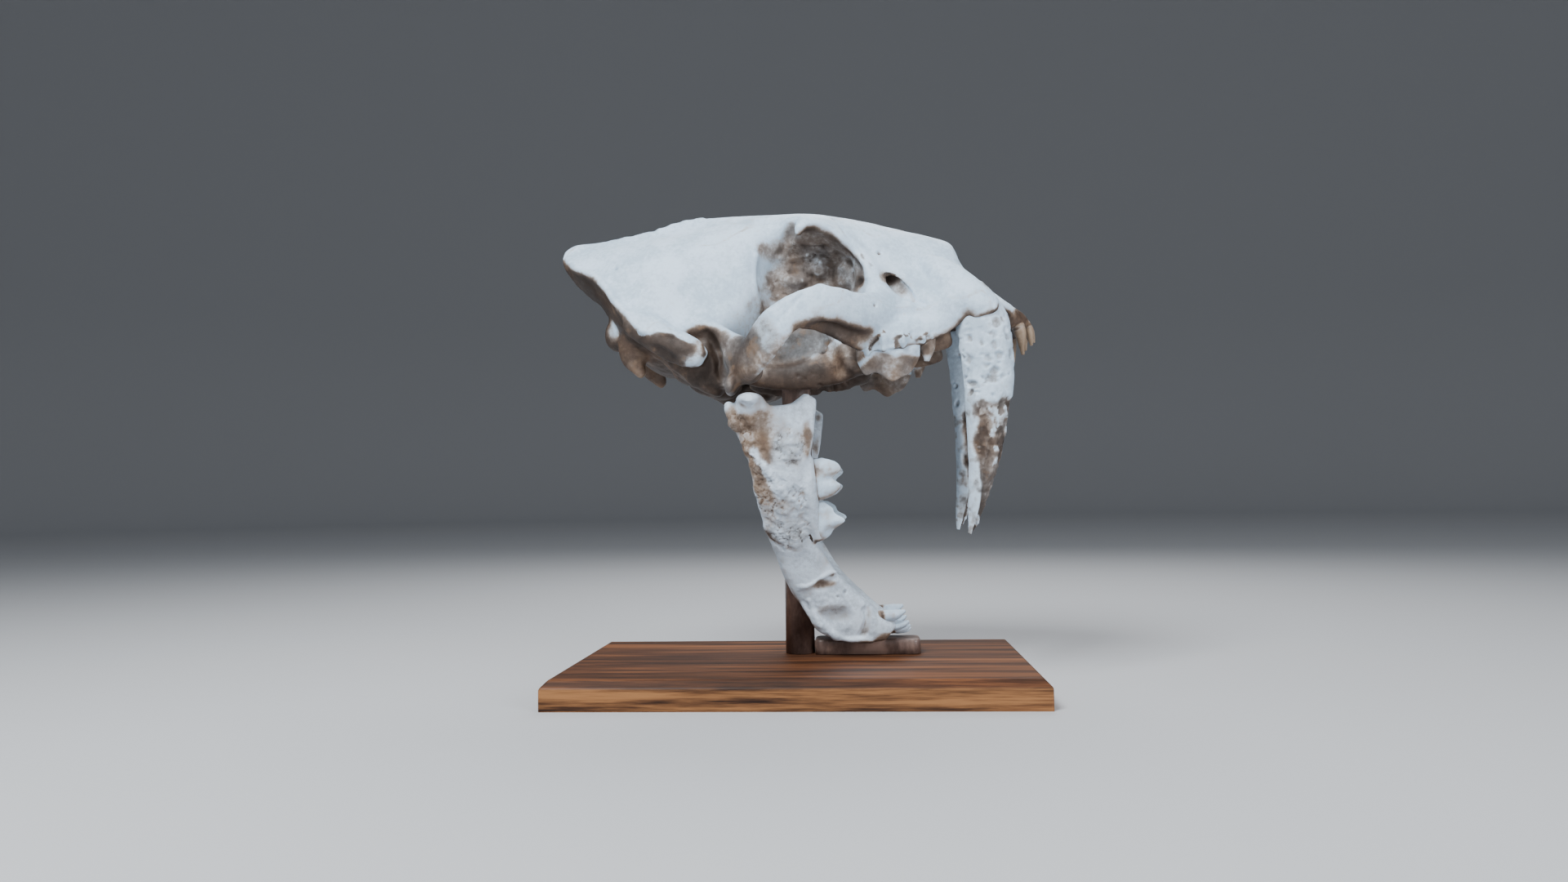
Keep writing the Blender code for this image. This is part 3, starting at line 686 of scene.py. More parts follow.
ORBIT_INSIDE = (((14, -26, 270), (34, 17, 26)),)
BROKEN_BONE = (((12, -28, 278), (19, 15, 19)), ((-6, -28, 264), (15, 13, 13)))
THIN_WALL = (((8, -22, 210), (50, 14, 24)),)
EAR_AND_BASE = (((-60, -40, 205), (52, 34, 22)), ((-135, 0, 258), (30, 34, 26)))
JAGGED_RIMS = (
    ((-150, -12, 290), (16, 16, 12)), ((-8, -92, 216), (16, 10, 14)), ((36, -62, 216), (12, 16, 9)),
    ((150, -10, 240), (14, 30, 10)),
)
# How far the broken bone of the eye socket stands out, and how deep the floor between lies.
SHELF_RISE, SHELF_FLOOR = 3.4, 2.2
# Where the crest is knobbly: from which half width, height and X, and where fully so.
CREST_WIDTH, CREST_HEIGHT, CREST_FROM = (7, 2), (300, 306), (-48, -60)

points = clay.points
broken = within(points, ORBIT_INSIDE)
shelves = np.abs(patches(points * (1, 1, 1.4), 17, 11, 2))
clay.push(broken * (SHELF_RISE * ease(0.08, 0.6, shelves) - SHELF_FLOOR))
wavy = bent(points, 9, 2.5, 17)
clay.push(within(points, BROKEN_BONE) * (0.7 * layers(wavy, 21, 13) - 0.35 * cracks(wavy, 16, 14)))
clay.push(within(points, THIN_WALL) * 0.9 * patches(points, 22, 15, 2))
clay.push(within(points, EAR_AND_BASE) * patches(points, 11, 5, 3))
clay.push(within(points, JAGGED_RIMS) * 0.7 * patches(points, 6, 7, 3))
crest = ease(*CREST_WIDTH, np.abs(points[:, 1])) * ease(*CREST_HEIGHT, points[:, 2])
crest *= ease(*CREST_FROM, points[:, 0])
clay.push(crest * 0.45 * patches(points, 7, 8, 3))
clay.push(0.22 * patches(points, 26, 2, 3) + 0.09 * patches(points, 5, 9, 2))
clay.write()


def keep_inside(piece, node):
    """Holds a piece inside the box of the CAD node it stands for."""
    clay = Clay(piece)
    clay.points = np.clip(clay.points, *to_millimetres(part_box(node)))
    clay.write()


keep_inside(cranium, "cranium")
thin_out(cranium, MOST_TRIANGLES)
print("cranium carved:", triangles(cranium), "triangles")

# %% [markdown]
# ## The lower jaw
# Each half of the jaw hangs wide open. Ribs across it give the plate, with bars for the
# joint, the low crown process and the flange of the chin. A finer skin than the
# cranium's suits it, because its surface is rough with pits.

# %% Jaw measures
# X and Z of the upper edge, X and Z of the lower edge, Y and half thickness.
DENTARY_RIBS = (
    (14, 181, -39, 180, -64, 3.6), (15, 172, -37, 171, -64.5, 4.6), (13, 158, -33, 157, -62.5, 5.8),
    (10, 144, -28, 143, -59, 7.2), (9, 130, -25, 129, -54, 8.4), (9, 114, -22.5, 114, -47.5, 8.8),
    (11, 98, -18.5, 99, -40.5, 8.4), (18, 86, -14, 86, -34.5, 7.8), (25, 75, -9, 71, -28.5, 8.2),
    (33, 66, -1.5, 56, -22.5, 9.5), (43, 57, 12, 43, -17.5, 11.5), (53, 48, 22, 31, -13.5, 12.5),
    (61, 43.5, 39, 26.5, -11.5, 11.5), (66, 39, 56, 28, -10.5, 10),
)
CONDYLE_NECK = ((-22, -66, 168, 12, 6.5), (-24, -66, 176, 11, 9.5), (-26, -66, 183, 9, 13))
CONDYLE = ((-26, -66, 184), (8.8, 17.5, 5.0))
CORONOID = ((2, -64, 166, 12, 4), (7, -63, 177, 9, 3.4), (12, -62, 186, 5, 2.6))
ANGLE_HOOK = ((-30, -65, 168, 7, 4.5), (-37, -65, 177, 5, 4), (-41, -64, 183, 2.5, 3))
LOWER_TOOTH_RIDGE = ((8, -57, 148, 5, 6), (10, -53, 130, 5, 7), (11, -47, 112, 5, 7), (15, -40, 96, 4, 6))
CHIN_FLANGE = (
    (4, -26, 54, 3, 3), (10, -25, 45, 3.5, 3.5), (14.5, -24, 38.5, 3.6, 4), (26, -21.5, 33, 3.5, 4),
    (43, -19, 30.5, 3.5, 4), (58, -17, 32, 3.5, 3.5),
)
MASSETER_HOLLOW = ((-13, -77, 162), (14, 9, 21), 8)
DENTARY_SIDES = 28
DENTARY_SQUARENESS = 0.8
JAW_FIRST_VOXEL = 1.5
JAW_VOXEL = 0.75


# %% Jaw shapes
def dentary_shapes(side):
    """All the overlapping shapes of one half of the lower jaw."""
    bm = bmesh.new()
    rings = []
    for upper_x, upper_z, lower_x, lower_z, y, half in smooth_row(DENTARY_RIBS, 4 * len(DENTARY_RIBS)):
        upper, lower = Vector((upper_x, y, upper_z)), Vector((lower_x, y, lower_z))
        middle, reach = (upper + lower) / 2, (upper - lower) / 2
        corners = fresh_ring(bm, DENTARY_SIDES)
        for corner in corners:
            along, across = (math.copysign(abs(v) ** DENTARY_SQUARENESS, v) for v in corner.co.xy)
            corner.co = middle + reach * along + Vector((0, across * half, 0))
            corner.co.y *= side
        rings.append(edges_of(corners))
    skin(bm, rings)
    for stations in (CONDYLE_NECK, CORONOID, ANGLE_HOOK, LOWER_TOOTH_RIDGE):
        bar(bm, mirrored(stations, side), upward=(1, 0, 0))
    bar(bm, mirrored(CHIN_FLANGE, side), upward=(0, 1, 0))
    lump(bm, CONDYLE[0], CONDYLE[1], 0, side)
    return bm


def jaw_half(side, suffix):
    """One fused half of the lower jaw, before carving."""
    jaw = new_piece("dentary_bone" + suffix, dentary_shapes(side))
    fuse(jaw, JAW_FIRST_VOXEL, 3)
    hollow = bmesh.new()
    lump(hollow, *MASSETER_HOLLOW, side)
    take_out(jaw, new_piece("hollow", hollow))
    fuse(jaw, JAW_VOXEL, 8)
    return jaw


# %% Carving the jaw
JAW_RIDGES = (
    (((-26, -81, 184), (-3, -68, 179), (4, -66, 181), (10, -63, 186)), 2.6, 0.6),
    (((-28, -66, 152), (-20, -66, 146), (-13, -64, 136), (-7, -61, 127), (0, -59, 121)), 3.5, 1.0),
    (((2, -32, 65), (7, -34, 65.5), (13, -35, 69), (19, -34, 73), (26, -31, 74)), 2.4, 1.1),
    (((7, -31, 56), (12, -27, 44), (17, -25, 37), (28, -23, 31), (46, -22, 29)), 3.2, 1.7),
)
JAW_GROOVES = (
    (((13, -34, 65), (18, -34, 68), (24, -32, 71)), 3.6, 1.5),
    (((44, -25, 49), (44, -25, 42), (41, -24, 33)), 2.8, 1.9),
)
JAW_HOLES = (
    ((31, -28, 61), (2.2, 4, 2.2), 1.8), ((26, -29, 58), (1.8, 4, 1.8), 1.4),
    ((25, -28, 45), (14, 10, 9), 2.6),
)
JAW_FLAKES = (
    ((-10, -58, 122), (22, 14, 26)), ((-6, -50, 102), (18, 14, 18)), ((-22, -62, 146), (9, 12, 16)),
    ((-32, -66, 166), (9, 12, 14)), ((-2, -64, 155), (12, 10, 16)),
)
JAW_GRAINY = (((16, -32, 56), (20, 12, 22)), ((-6, -66, 150), (14, 10, 20)))


def carve_jaw(jaw, node):
    """Ridges, holes and the flaking skin of one half of the jaw."""
    clay = Clay(jaw)
    for path, width, height in JAW_RIDGES:
        clay.stroke(path, width, height, ragged=0.6)
    for path, width, depth in JAW_GROOVES:
        clay.stroke(path, width, -depth, ragged=0.6)
    for centre, radii, depth in JAW_HOLES:
        clay.dent(centre, radii, depth)
    clay.write()
    points = clay.points
    chips = 0.62 * layers(points, 9.5, 21, 2.6) - 0.45 * cracks(points, 9, 22) - 0.3 * cracks(points, 5, 23)
    clay.push(within(points, JAW_FLAKES) * chips)
    clay.push(within(points, JAW_GRAINY) * 0.16 * patches(points, 2.2, 24, 2))
    clay.push(0.2 * patches(points, 14, 25, 3) + 0.08 * patches(points, 3.5, 26, 2))
    clay.write()
    keep_inside(jaw, node)


jaws = {suffix: jaw_half(side, suffix) for side, suffix in SIDES}
for suffix, jaw in jaws.items():
    carve_jaw(jaw, "dentary" + suffix)
print("jaw half:", triangles(jaws["_right"]), "triangles")

# %% [markdown]
# ## The sabres
# The upper canines are flattened blades, curved like a scimitar. The photograph shows
# pits near the gum and a flaking surface further down. A long skin of fine rings has
# enough points to carry both as real relief.

# %% Sabre measures
SABRE = (
    (115.0, -38, 257, 6.5, 8.0), (118.5, -39.5, 247, 8.6, 12.5), (121.0, -41, 236, 10.0, 16.6),
    (123.2, -41.5, 222, 10.2, 17.2), (124.6, -42, 204, 9.8, 16.4), (124.4, -42, 186, 9.0, 15.2),
    (123.4, -42, 166, 8.0, 13.2), (121.4, -42, 146, 6.7, 10.8), (118.6, -41.5, 128, 5.2, 8.2),
    (115.0, -41, 112, 3.6, 5.2), (111.6, -40.5, 98, 1.4, 1.8),
)


# Heights on the tooth: the broken edge of the enamel, and rows of height against value for
# the edge of the pale strip (as a share of the half width) and for the depth of the pits.
ENAMEL_END = (184, 179)
STRIP_EDGE = ((110, 130, 150, 180), (0.25, -0.10, -0.55, -0.62))
PIT_DEPTH = ((185, 225, 245), (2.4, 1.3, 0.2))
# Spacing, seed, share of places left without a pit, and depth.
PIT_SIZES = ((7.5, 41, 0.45, 1.0), (4.2, 42, 0.68, 0.55))


# %% Sabres
def set_share(piece, name, values):
    """Stores one number for each point of a piece, which a material can read."""
    layer = piece.data.attributes.get(name) or piece.data.attributes.new(name, "FLOAT", "POINT")
    layer.data.foreach_set("value", np.clip(values, 0, 1).astype(np.float32))


def sabre(side, suffix):
    """One upper canine: pitted enamel above, flaked to the brown core below."""
    bm = bmesh.new()
    bar(bm, mirrored(SABRE, side), count=240, sides=92, square=1.9, upward=(0, 1, 0))
    tooth = new_piece("sabre" + suffix, bm)
    clay = Clay(tooth)
    points = clay.points
    measured = smooth_row(SABRE, 60)[::-1]
    height = points[:, 2]
    middle = np.interp(height, measured[:, 2], measured[:, 0])
    half_width = np.interp(height, measured[:, 2], measured[:, 4])
    chord = (points[:, 0] - middle) / half_width
    ragged = patches(points * (1, 1, 0.45), 7, 43, 3)
    bare = ease(*ENAMEL_END, height + 4 * ragged)
    strip_edge = np.interp(height, *STRIP_EDGE)
    strip = ease(strip_edge + 0.12, strip_edge - 0.12, chord + 0.22 * ragged)
    core = bare * (1 - strip)
    pit = np.zeros(len(points))
    for size, seed, least, depth in PIT_SIZES:
        away, own = scattered(bent(points, 5, 1.5, seed + 3), size, seed)
        wide = 0.16 + 0.30 * (7.3 * own % 1)
        pit = np.maximum(pit, np.where(own > least, depth * ease(wide + 0.14, wide - 0.06, away), 0))
    pit *= 1 - bare
    deep = np.interp(height, *PIT_DEPTH)
    chips = layers(points * (1, 1, 0.6), 7.5, 45, 2.4)
    crack = cracks(points * (1, 1, 0.4), 7, 46)
    clay.push(-deep * pit + 0.35 * patches(points, 11, 47, 3) * (1 - core) - 0.3 * bare * strip * crack
              + core * (0.55 * chips - 1.5 - 0.6 * crack) + 0.12 * bare * patches(points, 2.6, 49, 2))
    clay.write()
    keep_inside(tooth, "upper_canine" + suffix)
    left = ease(0.6, 1.2, chips + 0.5 * patches(points, 4, 50, 2))
    low = ease(200, 186, height) * ease(0.1, 0.6, patches(points, 6, 54, 2))
    # Painted shade: the pits are darker, and the third number gives near-black shade in the core's cracks
    # and between its flakes.
    set_share(tooth, "stain_and_shade", core * (0.47 + 0.26 * patches(points, 9, 48, 2)) * (1 - 0.9 * left)
              + 0.30 * pit + 0.2 * low + bare * (0.12 + 0.2 * ease(0.1, 0.7, patches(points, 5, 52, 2))))
    set_share(tooth, "warmth", 0.15 + 0.30 * core + 0.3 * patches(points, 12, 55, 2))
    set_share(tooth, "grime_and_shade", 0.35 * core * crack + 0.3 * core * ease(0.2, 0.9, -chips))
    return tooth


sabres = {suffix: sabre(side, suffix) for side, suffix in SIDES}
print("sabre:", triangles(sabres["_right"]), "triangles")

# %% [markdown]
# ## Pegs: incisors, lower canines and small premolars
# These teeth are curved cones. They are the same bars as before with more sides, and a
# slight waist where the enamel ends.

# %% Peg teeth
PEGS = (
    ("upper_incisor_1", "incisor", ((149.5, -4.6, 241, 2.4, 2.2), (153.5, -4.8, 237, 3.2, 3.0),
                                    (157.5, -4.8, 232, 3.2, 2.8), (160, -4.6, 224, 1.2, 1.0))),
    ("upper_incisor_2", "incisor", ((148, -12, 241, 2.8, 2.6), (152, -12.6, 237, 3.9, 3.3),
                                    (155.5, -13, 231, 3.8, 3.2), (157, -13, 221, 1.2, 1.0))),
    ("upper_incisor_3", "incisor", ((141.5, -19.5, 242, 3.2, 3.2), (145.2, -21, 236.5, 4.7, 4.1),
                                    (148.5, -21.6, 229, 4.6, 4.0), (150, -21.6, 214, 1.2, 1.0))),
    ("upper_premolar", "upper_tooth", ((86, -48, 236, 3.2, 4.0), (86, -48, 226, 4.0, 5.2),
                                       (86, -48.4, 217, 3.8, 5.0), (85.4, -48.4, 208, 1.2, 1.6))),
    ("lower_incisor_1", "lower_tooth", ((54, -3.3, 33, 2.0, 1.8), (63, -3.3, 33, 2.6, 2.3),
                                        (70, -3.3, 33.4, 2.2, 2.0), (74, -3.3, 34.5, 0.8, 0.8))),
    ("lower_incisor_2", "lower_tooth", ((53, -9, 34, 2.2, 2.0), (62, -9.1, 34.4, 2.8, 2.5),
                                        (69.5, -9.1, 35.2, 2.4, 2.2), (73.5, -9.1, 37, 0.8, 0.8))),
    ("lower_incisor_3", "lower_tooth", ((51, -15, 36, 2.4, 2.2), (60, -15.2, 36.6, 3.0, 2.8),
                                        (67.5, -15.2, 38, 2.8, 2.4), (72, -15.2, 40.5, 0.8, 0.8))),
    ("lower_canine", "lower_tooth", ((44, -17, 44.5, 3.2, 3.2), (55, -17.5, 44, 4.2, 4.0),
                                     (63.5, -18, 45, 3.8, 3.4), (70, -18, 47.5, 1.0, 1.0))),
)
# Share of a peg's length, from the root, at which its enamel starts.
PEG_WAIST = 0.42


def peg(name, stations, side, suffix):
    """One peg tooth with a waist at the gum and a faintly uneven surface."""
    bm = bmesh.new()
    bar(bm, mirrored(stations, side), count=44, sides=36, upward=(0, 1, 0))
    tooth = new_piece(name + "_crown" + suffix, bm)
    clay = Clay(tooth)
    root, tip = np.array(stations[0][:3]), np.array(stations[-1][:3])
    length = np.linalg.norm(tip - root)
    along = (clay.points * (1, side, 1) - root) @ ((tip - root) / length) / length
    waist = np.exp(-((along - PEG_WAIST) / 0.05) ** 2)
    clay.push(-0.25 * waist + 0.12 * patches(clay.points, 4, 51, 2))
    clay.write()
    darker_tone = 0.45 if name == "upper_premolar" else 0.05
    blotches = 0.3 * patches(clay.points, 5, 53, 2)
    set_share(tooth, "stain_and_shade", 0.5 * waist + 0.6 * ease(0.5, 0.1, along) + blotches + darker_tone)
    set_share(tooth, "warmth", np.full(len(clay.points), 0.8))
    return tooth


crowns = {}
for name, slot, stations in PEGS:
    for side, suffix in SIDES:
        crowns[name + suffix] = (peg(name, stations, side, suffix), slot)
print("pegs:", len(crowns))

# %% [markdown]
# ## Blades: the meat-shearing cheek teeth
# A cat's carnassial is a row of cusps worn into one cutting edge. Wedge sections are
# set along the gum line, each as high as the crown is there. A swelling above the gum
# and notches between cusps make it read as a tooth.

# %% Blade teeth
# Name, slot, gum line's start, direction along it, direction of the cusps, and the stations:
# distance along the gum line, height of the crown there and its half thickness.
BLADES = (
    ("upper_carnassial", "upper_tooth", (42, -56, 218), (1, 0.1, 0.02), (0, 0, -1),
     ((-1, 10, 2.4), (4, 18.5, 4.0), (11, 17.5, 4.4), (15, 19.5, 4.8), (21, 23.5, 5.0), (27, 21, 5.2),
      (32, 19, 5.0), (36, 14, 4.2), (39, 8, 2.4))),
    ("lower_carnassial", "lower_tooth", (12, -53.5, 146), (-0.03, 0.16, -1), (1, 0, 0.12),
     ((-1, 6, 2.2), (3, 15, 3.8), (8, 18, 4.4), (13, 13, 4.6), (18, 18, 4.4), (23, 14, 3.6), (26, 6, 2.2))),
    ("lower_premolar", "lower_tooth", (12.5, -47.5, 118.5), (0.02, 0.2, -1), (1, 0, 0.06),
     ((-1, 6, 2.0), (3, 11, 3.4), (7, 13, 4.0), (12, 19, 4.4), (17, 12, 4.0), (21, 9, 3.0), (24, 4, 2.0))),
)
# X and Z of the line above which the upper carnassial's crown is painted pale, as lit, and below which it is
# brown, as shade.
CROWN_ARCH = ((38, 203), (42, 205), (48, 209.5), (54, 214.5), (60, 214), (65, 211.5), (70, 213.5), (78, 212))
BLADE_ROOT = 7.0
# Share of the crown's height, and share of its half thickness there.
BLADE_PROFILE = ((0.0, 0.94), (0.10, 1.0), (0.28, 0.98), (0.5, 0.78), (0.72, 0.48), (0.9, 0.22), (1.0, 0.10))


def blade(name, gum, along, up, stations, side, suffix):
    """One cutting tooth between a root and a scalloped edge."""
    start, along, up = (np.array(row, dtype=float) * (1, side, 1) for row in (gum, along, up))
    along /= np.linalg.norm(along)
    up /= np.linalg.norm(up)
    across = np.cross(along, up)
    bm = bmesh.new()
    rings = []
    for distance, height, half in smooth_row(stations, 56):
        rise = [(-BLADE_ROOT, 0.7 * half), (-0.5 * BLADE_ROOT, 0.86 * half)]
        rise += [(share * height, wide * half) for share, wide in BLADE_PROFILE]
        rise = smooth_row(rise, 20)
        outline = [*rise, *(rise[::-1] * (1, -1))]
        rings.append(outline_ring(bm, [start + along * distance + up * h + across * w for h, w in outline]))
    skin(bm, rings)
    tooth = new_piece(name + "_crown" + suffix, bm)
    clay = Clay(tooth)
    height = (clay.points - start) @ up
    neck = np.exp(-((height + 0.5) / 1.1) ** 2)
    clay.push(-0.35 * neck + 0.16 * patches(clay.points, 6, 61, 3))
    clay.write()
    if name == "upper_carnassial":
        # Painted light and shade: a pale lit band under the gum, the crown below brown as shade and stain,
        # and brown shade at the back under the cheek arch.
        above = clay.points[:, 2] - np.interp(clay.points[:, 0], *np.array(CROWN_ARCH, dtype=float).T)
        uneven = patches(clay.points, 9, 63, 3)
        stain_and_shade = 0.48 + 0.18 * uneven - 0.6 * ease(-2.4, 0.6, above + uneven)
        stain_and_shade += 0.6 * ease(0.6, 3.0, above) * ease(58, 50, clay.points[:, 0])
    else:
        # Darker at the gum groove and below the gum; painted shade on faces that look down.
        below = ease(0.2, 0.8, -clay.outward[:, 2])
        blotches = 0.25 * patches(clay.points, 7, 63, 3)
        stain_and_shade = 0.06 + 0.5 * neck + ease(1.0, -2.0, height) + blotches + 0.35 * below
    set_share(tooth, "stain_and_shade", stain_and_shade)
    set_share(tooth, "warmth", 0.65 + 0.3 * patches(clay.points, 8, 64, 2))
    return tooth


for name, slot, *measures in BLADES:
    for side, suffix in SIDES:
        crowns[name + suffix] = (blade(name, *measures, side, suffix), slot)
print("crowns:", len(crowns))

# %% [markdown]
# ## Where dirt and painted shade stay
# Points that see little of the sky are painted brown, partly as dirt that stays where
# cleaning doesn't reach and partly as painted shade of hollows and undersides. So each
# point counts how much of the sky above it can see. Small hollows are painted darker as
# shade too: they lie below the average of their neighbours. Stains and shade that no rule
# explains are brushed on. The numbers are stored on the points for the materials.

# %% Sky and hollows
# Rays for each point, where they start in millimetres above it, how far they reach in
# metres, and the shares of open sky between which bone is painted from white to brown, as shade and dirt.
SKY_RAYS = 30
SKY_START = 0.8
SKY_REACH = 0.12
SHADE_AND_BROWNING_SKY = (0.52, 0.08)
# How often a surface is evened out before its small hollows are measured against it.
HOLLOW_PASSES = 6


def sky_directions():
    """Evenly spread directions, most of them upward."""
    out = []
    for k in range(SKY_RAYS):
        height = 1 - 1.25 * (k + 0.5) / SKY_RAYS
        flat = math.sqrt(1 - height * height)
        angle = k * math.pi * (3 - math.sqrt(5))
        out.append(Vector((flat * math.cos(angle), flat * math.sin(angle), height)))
    return out


def shade_tree(pieces):
    """One search tree of everything that can hide the sky."""
    corners, faces = [], []
    for piece in pieces:
        first = len(corners)
        corners += [corner.co.copy() for corner in piece.data.vertices]
        faces += [[first + i for i in face.vertices] for face in piece.data.polygons]
    return BVHTree.FromPolygons(corners, faces)


carved = ("cranium", "dentary_right", "dentary_left")
hiding = [cranium, *jaws.values()]
hiding += [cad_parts[name] for name in sorted(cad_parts) if name not in carved]
shade = shade_tree(hiding)
directions = sky_directions()


def sky_share(clay):
    """Share of the sky that each point of a piece sees, about 1 on an open top."""
    starts = [Vector(place) for place in to_metres(clay.points + clay.outward * SKY_START)]
    seen = np.zeros(len(starts))
    full = sum(max(direction.z, 0) for direction in directions)
    for direction in directions:
        facing = clay.outward @ np.array(direction)
        for i in np.flatnonzero(facing > 0.04):
            if shade.ray_cast(starts[i], direction, SKY_REACH)[0] is None:
                seen[i] += facing[i]
    return seen / full


def neighbours(piece):
    """Pairs of points that share an edge, and how many neighbours each point has."""
    pairs = np.empty(len(piece.data.edges) * 2, dtype=np.int64)
    piece.data.edges.foreach_get("vertices", pairs)
    a, b = pairs.reshape(-1, 2).T
    total = len(piece.data.vertices)
    return a, b, np.bincount(a, minlength=total) + np.bincount(b, minlength=total)


def soften(values, web, passes):
    """Evens out a number over the surface."""
    a, b, links = web
    for _ in range(passes):
        spread = np.bincount(a, values[b], len(values)) + np.bincount(b, values[a], len(values))
        values = 0.5 * values + 0.5 * spread / links
    return values


def hollow_share(clay, web):
    """How far each point lies below the average of its neighbours, in millimetres."""
    soft = np.stack([soften(row, web, HOLLOW_PASSES) for row in clay.points.T], axis=1)
    return ((soft - clay.points) * clay.outward).sum(axis=1)


# %% Stains and painted shade on the cranium
# Each dab has a centre, radii, how brown it makes the bone and how warm that brown is.
# Most paint shade and some are stains; those near 0 paint lit places pale.
CRANIUM_DABS = (
    # Eye socket: grey and brown painted shade, darkest behind the brow hook; the pale dabs paint its lit
    # bands.
    ((14, -30, 277), (36, 22, 29), 0.46, 0.50),
    ((-8, -30, 264), (20, 16, 16), 0.42, 0.55),
    ((15, -36, 293), (17, 14, 10), 0.42, 0.65),
    ((-11, -30, 284), (15, 12, 7), 0.46, 0.45),
    ((-4, -34, 284), (6, 9, 6), 0.46, 0.30),
    ((-2, -39, 297), (8, 9, 11), 0.46, 0.00),
    ((-16, -33, 275.5), (14, 12, 4.0), 0.02, 0.00),
    ((-22, -34, 268), (7, 10, 6), 0.02, 0.00),
    ((-15, -32, 258), (11, 11, 6), 0.20, 0.40),
    ((-9, -30, 260), (6, 9, 4.5), 0.38, 0.90),
    ((-13, -40, 252), (9, 12, 4.5), 0.00, 0.00),
    ((-25, -42, 243), (9, 20, 11), 0.12, 0.30),
    ((-15, -46, 247), (4, 9, 3), 0.70, 0.60),
    # Front of the socket and the hole below the eye: painted shade, with a dark pit and a dark crescent
    # under the bridge.
    ((34, -36, 266), (13, 14, 12), 0.35, 0.00),
    ((43, -42, 271), (8, 10, 9), 0.44, 0.10),
    ((36, -37, 275), (5, 12, 6), 0.38, 0.40),
    ((43, -42, 261), (5, 9, 4), 0.80, 0.30),
    ((68, -48, 257), (11, 12, 9), 0.28, 0.15),
    ((59, -45, 262), (4, 10, 5), 0.60, 0.80),
    # Temporal wall kept pale; brown painted shade under the cheek arch and its root, partly stain.
    ((-34, -42, 233), (18, 24, 13), 0.14, 0.50),
    ((-16, -90, 219), (15, 14, 15), 0.30, 0.10),
    ((-29, -84, 213), (19, 28, 16), 0.72, 0.22),
    ((-42, -64, 222), (9, 14, 9), 0.50, 0.40),
    ((-28, -82, 197), (18, 28, 10), 0.66, 0.80),
    ((-13, -91, 205), (10, 12, 9), 0.46, 0.85),
    # Skull base, ear and under the crest at the back: brown painted shade, partly stain, darkest in the ear;
    # the pale dabs paint lit knobs.
    ((-75, -44, 208), (36, 13, 18), 0.70, 0.85),
    ((-105, -34, 214), (15, 17, 18), 0.62, 0.95),
    ((-121, -24, 238), (6, 11, 10), 0.05, 0.00),
    ((-40, -64, 196), (8, 18, 19), 0.50, 0.20),
    ((-52, -56, 210), (10, 16, 22), 0.97, 0.80),
    ((-54, -56, 228), (13, 16, 6), 0.95, 0.80),
    ((-73, -66, 220), (17, 10, 7), 0.82, 0.80),
    ((-60, -67, 209), (9, 8, 5.5), 0.00, 0.00),
    # Plate below the skull: grey painted shade above, dark brown painted shade below.
    ((8, -16, 226), (36, 13, 15), 0.54, 0.00),
    ((8, -22, 202), (42, 8, 15), 0.93, 0.80),
    # Round the cheek teeth and under the front of the muzzle: brown, partly stain and partly painted shade
    # in these recesses.
    ((31, -25, 210), (6, 10, 10), 0.58, 1.00),
    ((45, -50, 214), (10, 11, 9), 0.62, 0.70),
    ((37, -52, 232), (14, 15, 12), 0.70, 0.95),
    ((31, -34, 238), (12, 16, 12), 0.60, 0.80),
    ((92, -38, 222), (17, 9, 12), 0.60, 0.85),
    ((147, -20, 235), (16, 19, 11), 0.70, 0.95),
    ((154, -4, 235), (9, 22, 7), 0.66, 0.95),
)
# Each streak has a path and a width instead of a centre and radii. They paint shade:
# a band in the eye socket, brown under the cheek arch and a line under the upper jaw's edge.
CRANIUM_STREAKS = (
    (((-15, -29, 268), (-4, -28, 272), (8, -27, 275), (13, -26, 278)), 4.0, 0.48, 0.45),
    (((4, -90, 226), (14, -84, 228), (28, -74, 227), (40, -63, 223), (50, -54, 219)), 6.5, 0.72, 0.85),
    (((-18, -88, 198), (-10, -92, 207), (0, -93, 219)), 4.0, 0.42, 0.75),
    (((130, -49, 238), (119, -49, 233), (108, -48, 228), (98, -47, 224)), 4.5, 0.72, 0.90),
)
# Thin lines: dark ones paint shade in cracks, in the brow seam and between the tooth
# roots, pale ones paint highlights along rims.
CRANIUM_LINES = (
    (((47, -60, 217), (42, -57, 215)), 2.0, 0.60, 0.8),
    (((41, -57, 209), (45, -58, 212.5), (52, -61, 214), (62, -62, 214.5), (74, -61, 214.5), (82, -58, 216),
      (94, -53, 221)), 2.4, 0.0, 0.0),
    (((58.5, -63, 222), (58.5, -62, 215)), 3.4, 0.0, 0.0),
    (((70.5, -62, 222), (70.5, -61, 215)), 3.4, 0.0, 0.0),
    (((82, -58, 219), (84, -57, 217)), 2.4, 0.0, 0.0),
    (ROOT_CREVICES[0], 1.5, 0.62, 0.5),
    (ROOT_CREVICES[1], 1.5, 0.62, 0.5),
    (ROOT_CREVICES[2], 1.4, 0.60, 0.5),
    (ROOT_CREVICES[3], 1.4, 0.50, 0.5),
    ((*MASTOID_RIM[:3], (-59, -66, 219), (-54, -64, 213), (-56, -66, 208)), 3.4, 0.0, 0.0),
    (BROW_SEAM, 1.6, 0.30, 0.0),
    (((11.5, -27, 275), (13, -27, 271), (16, -27, 269)), 3.0, 0.72, 0.5),
    (((1, -28, 268.5), (-3, -28, 267)), 2.4, 0.62, 0.5),
    (((25, -31, 295), (27, -31, 288)), 2.2, 0.75, 0.4),
)
# The crest at the back: X and Z of the line below which its back is painted brown as shade.
CREST_LINE = ((-162, 292), *((x, z) for x, _, z in NUCHAL_RIM), (-80, 228), (-68, 224), (-60, 218))


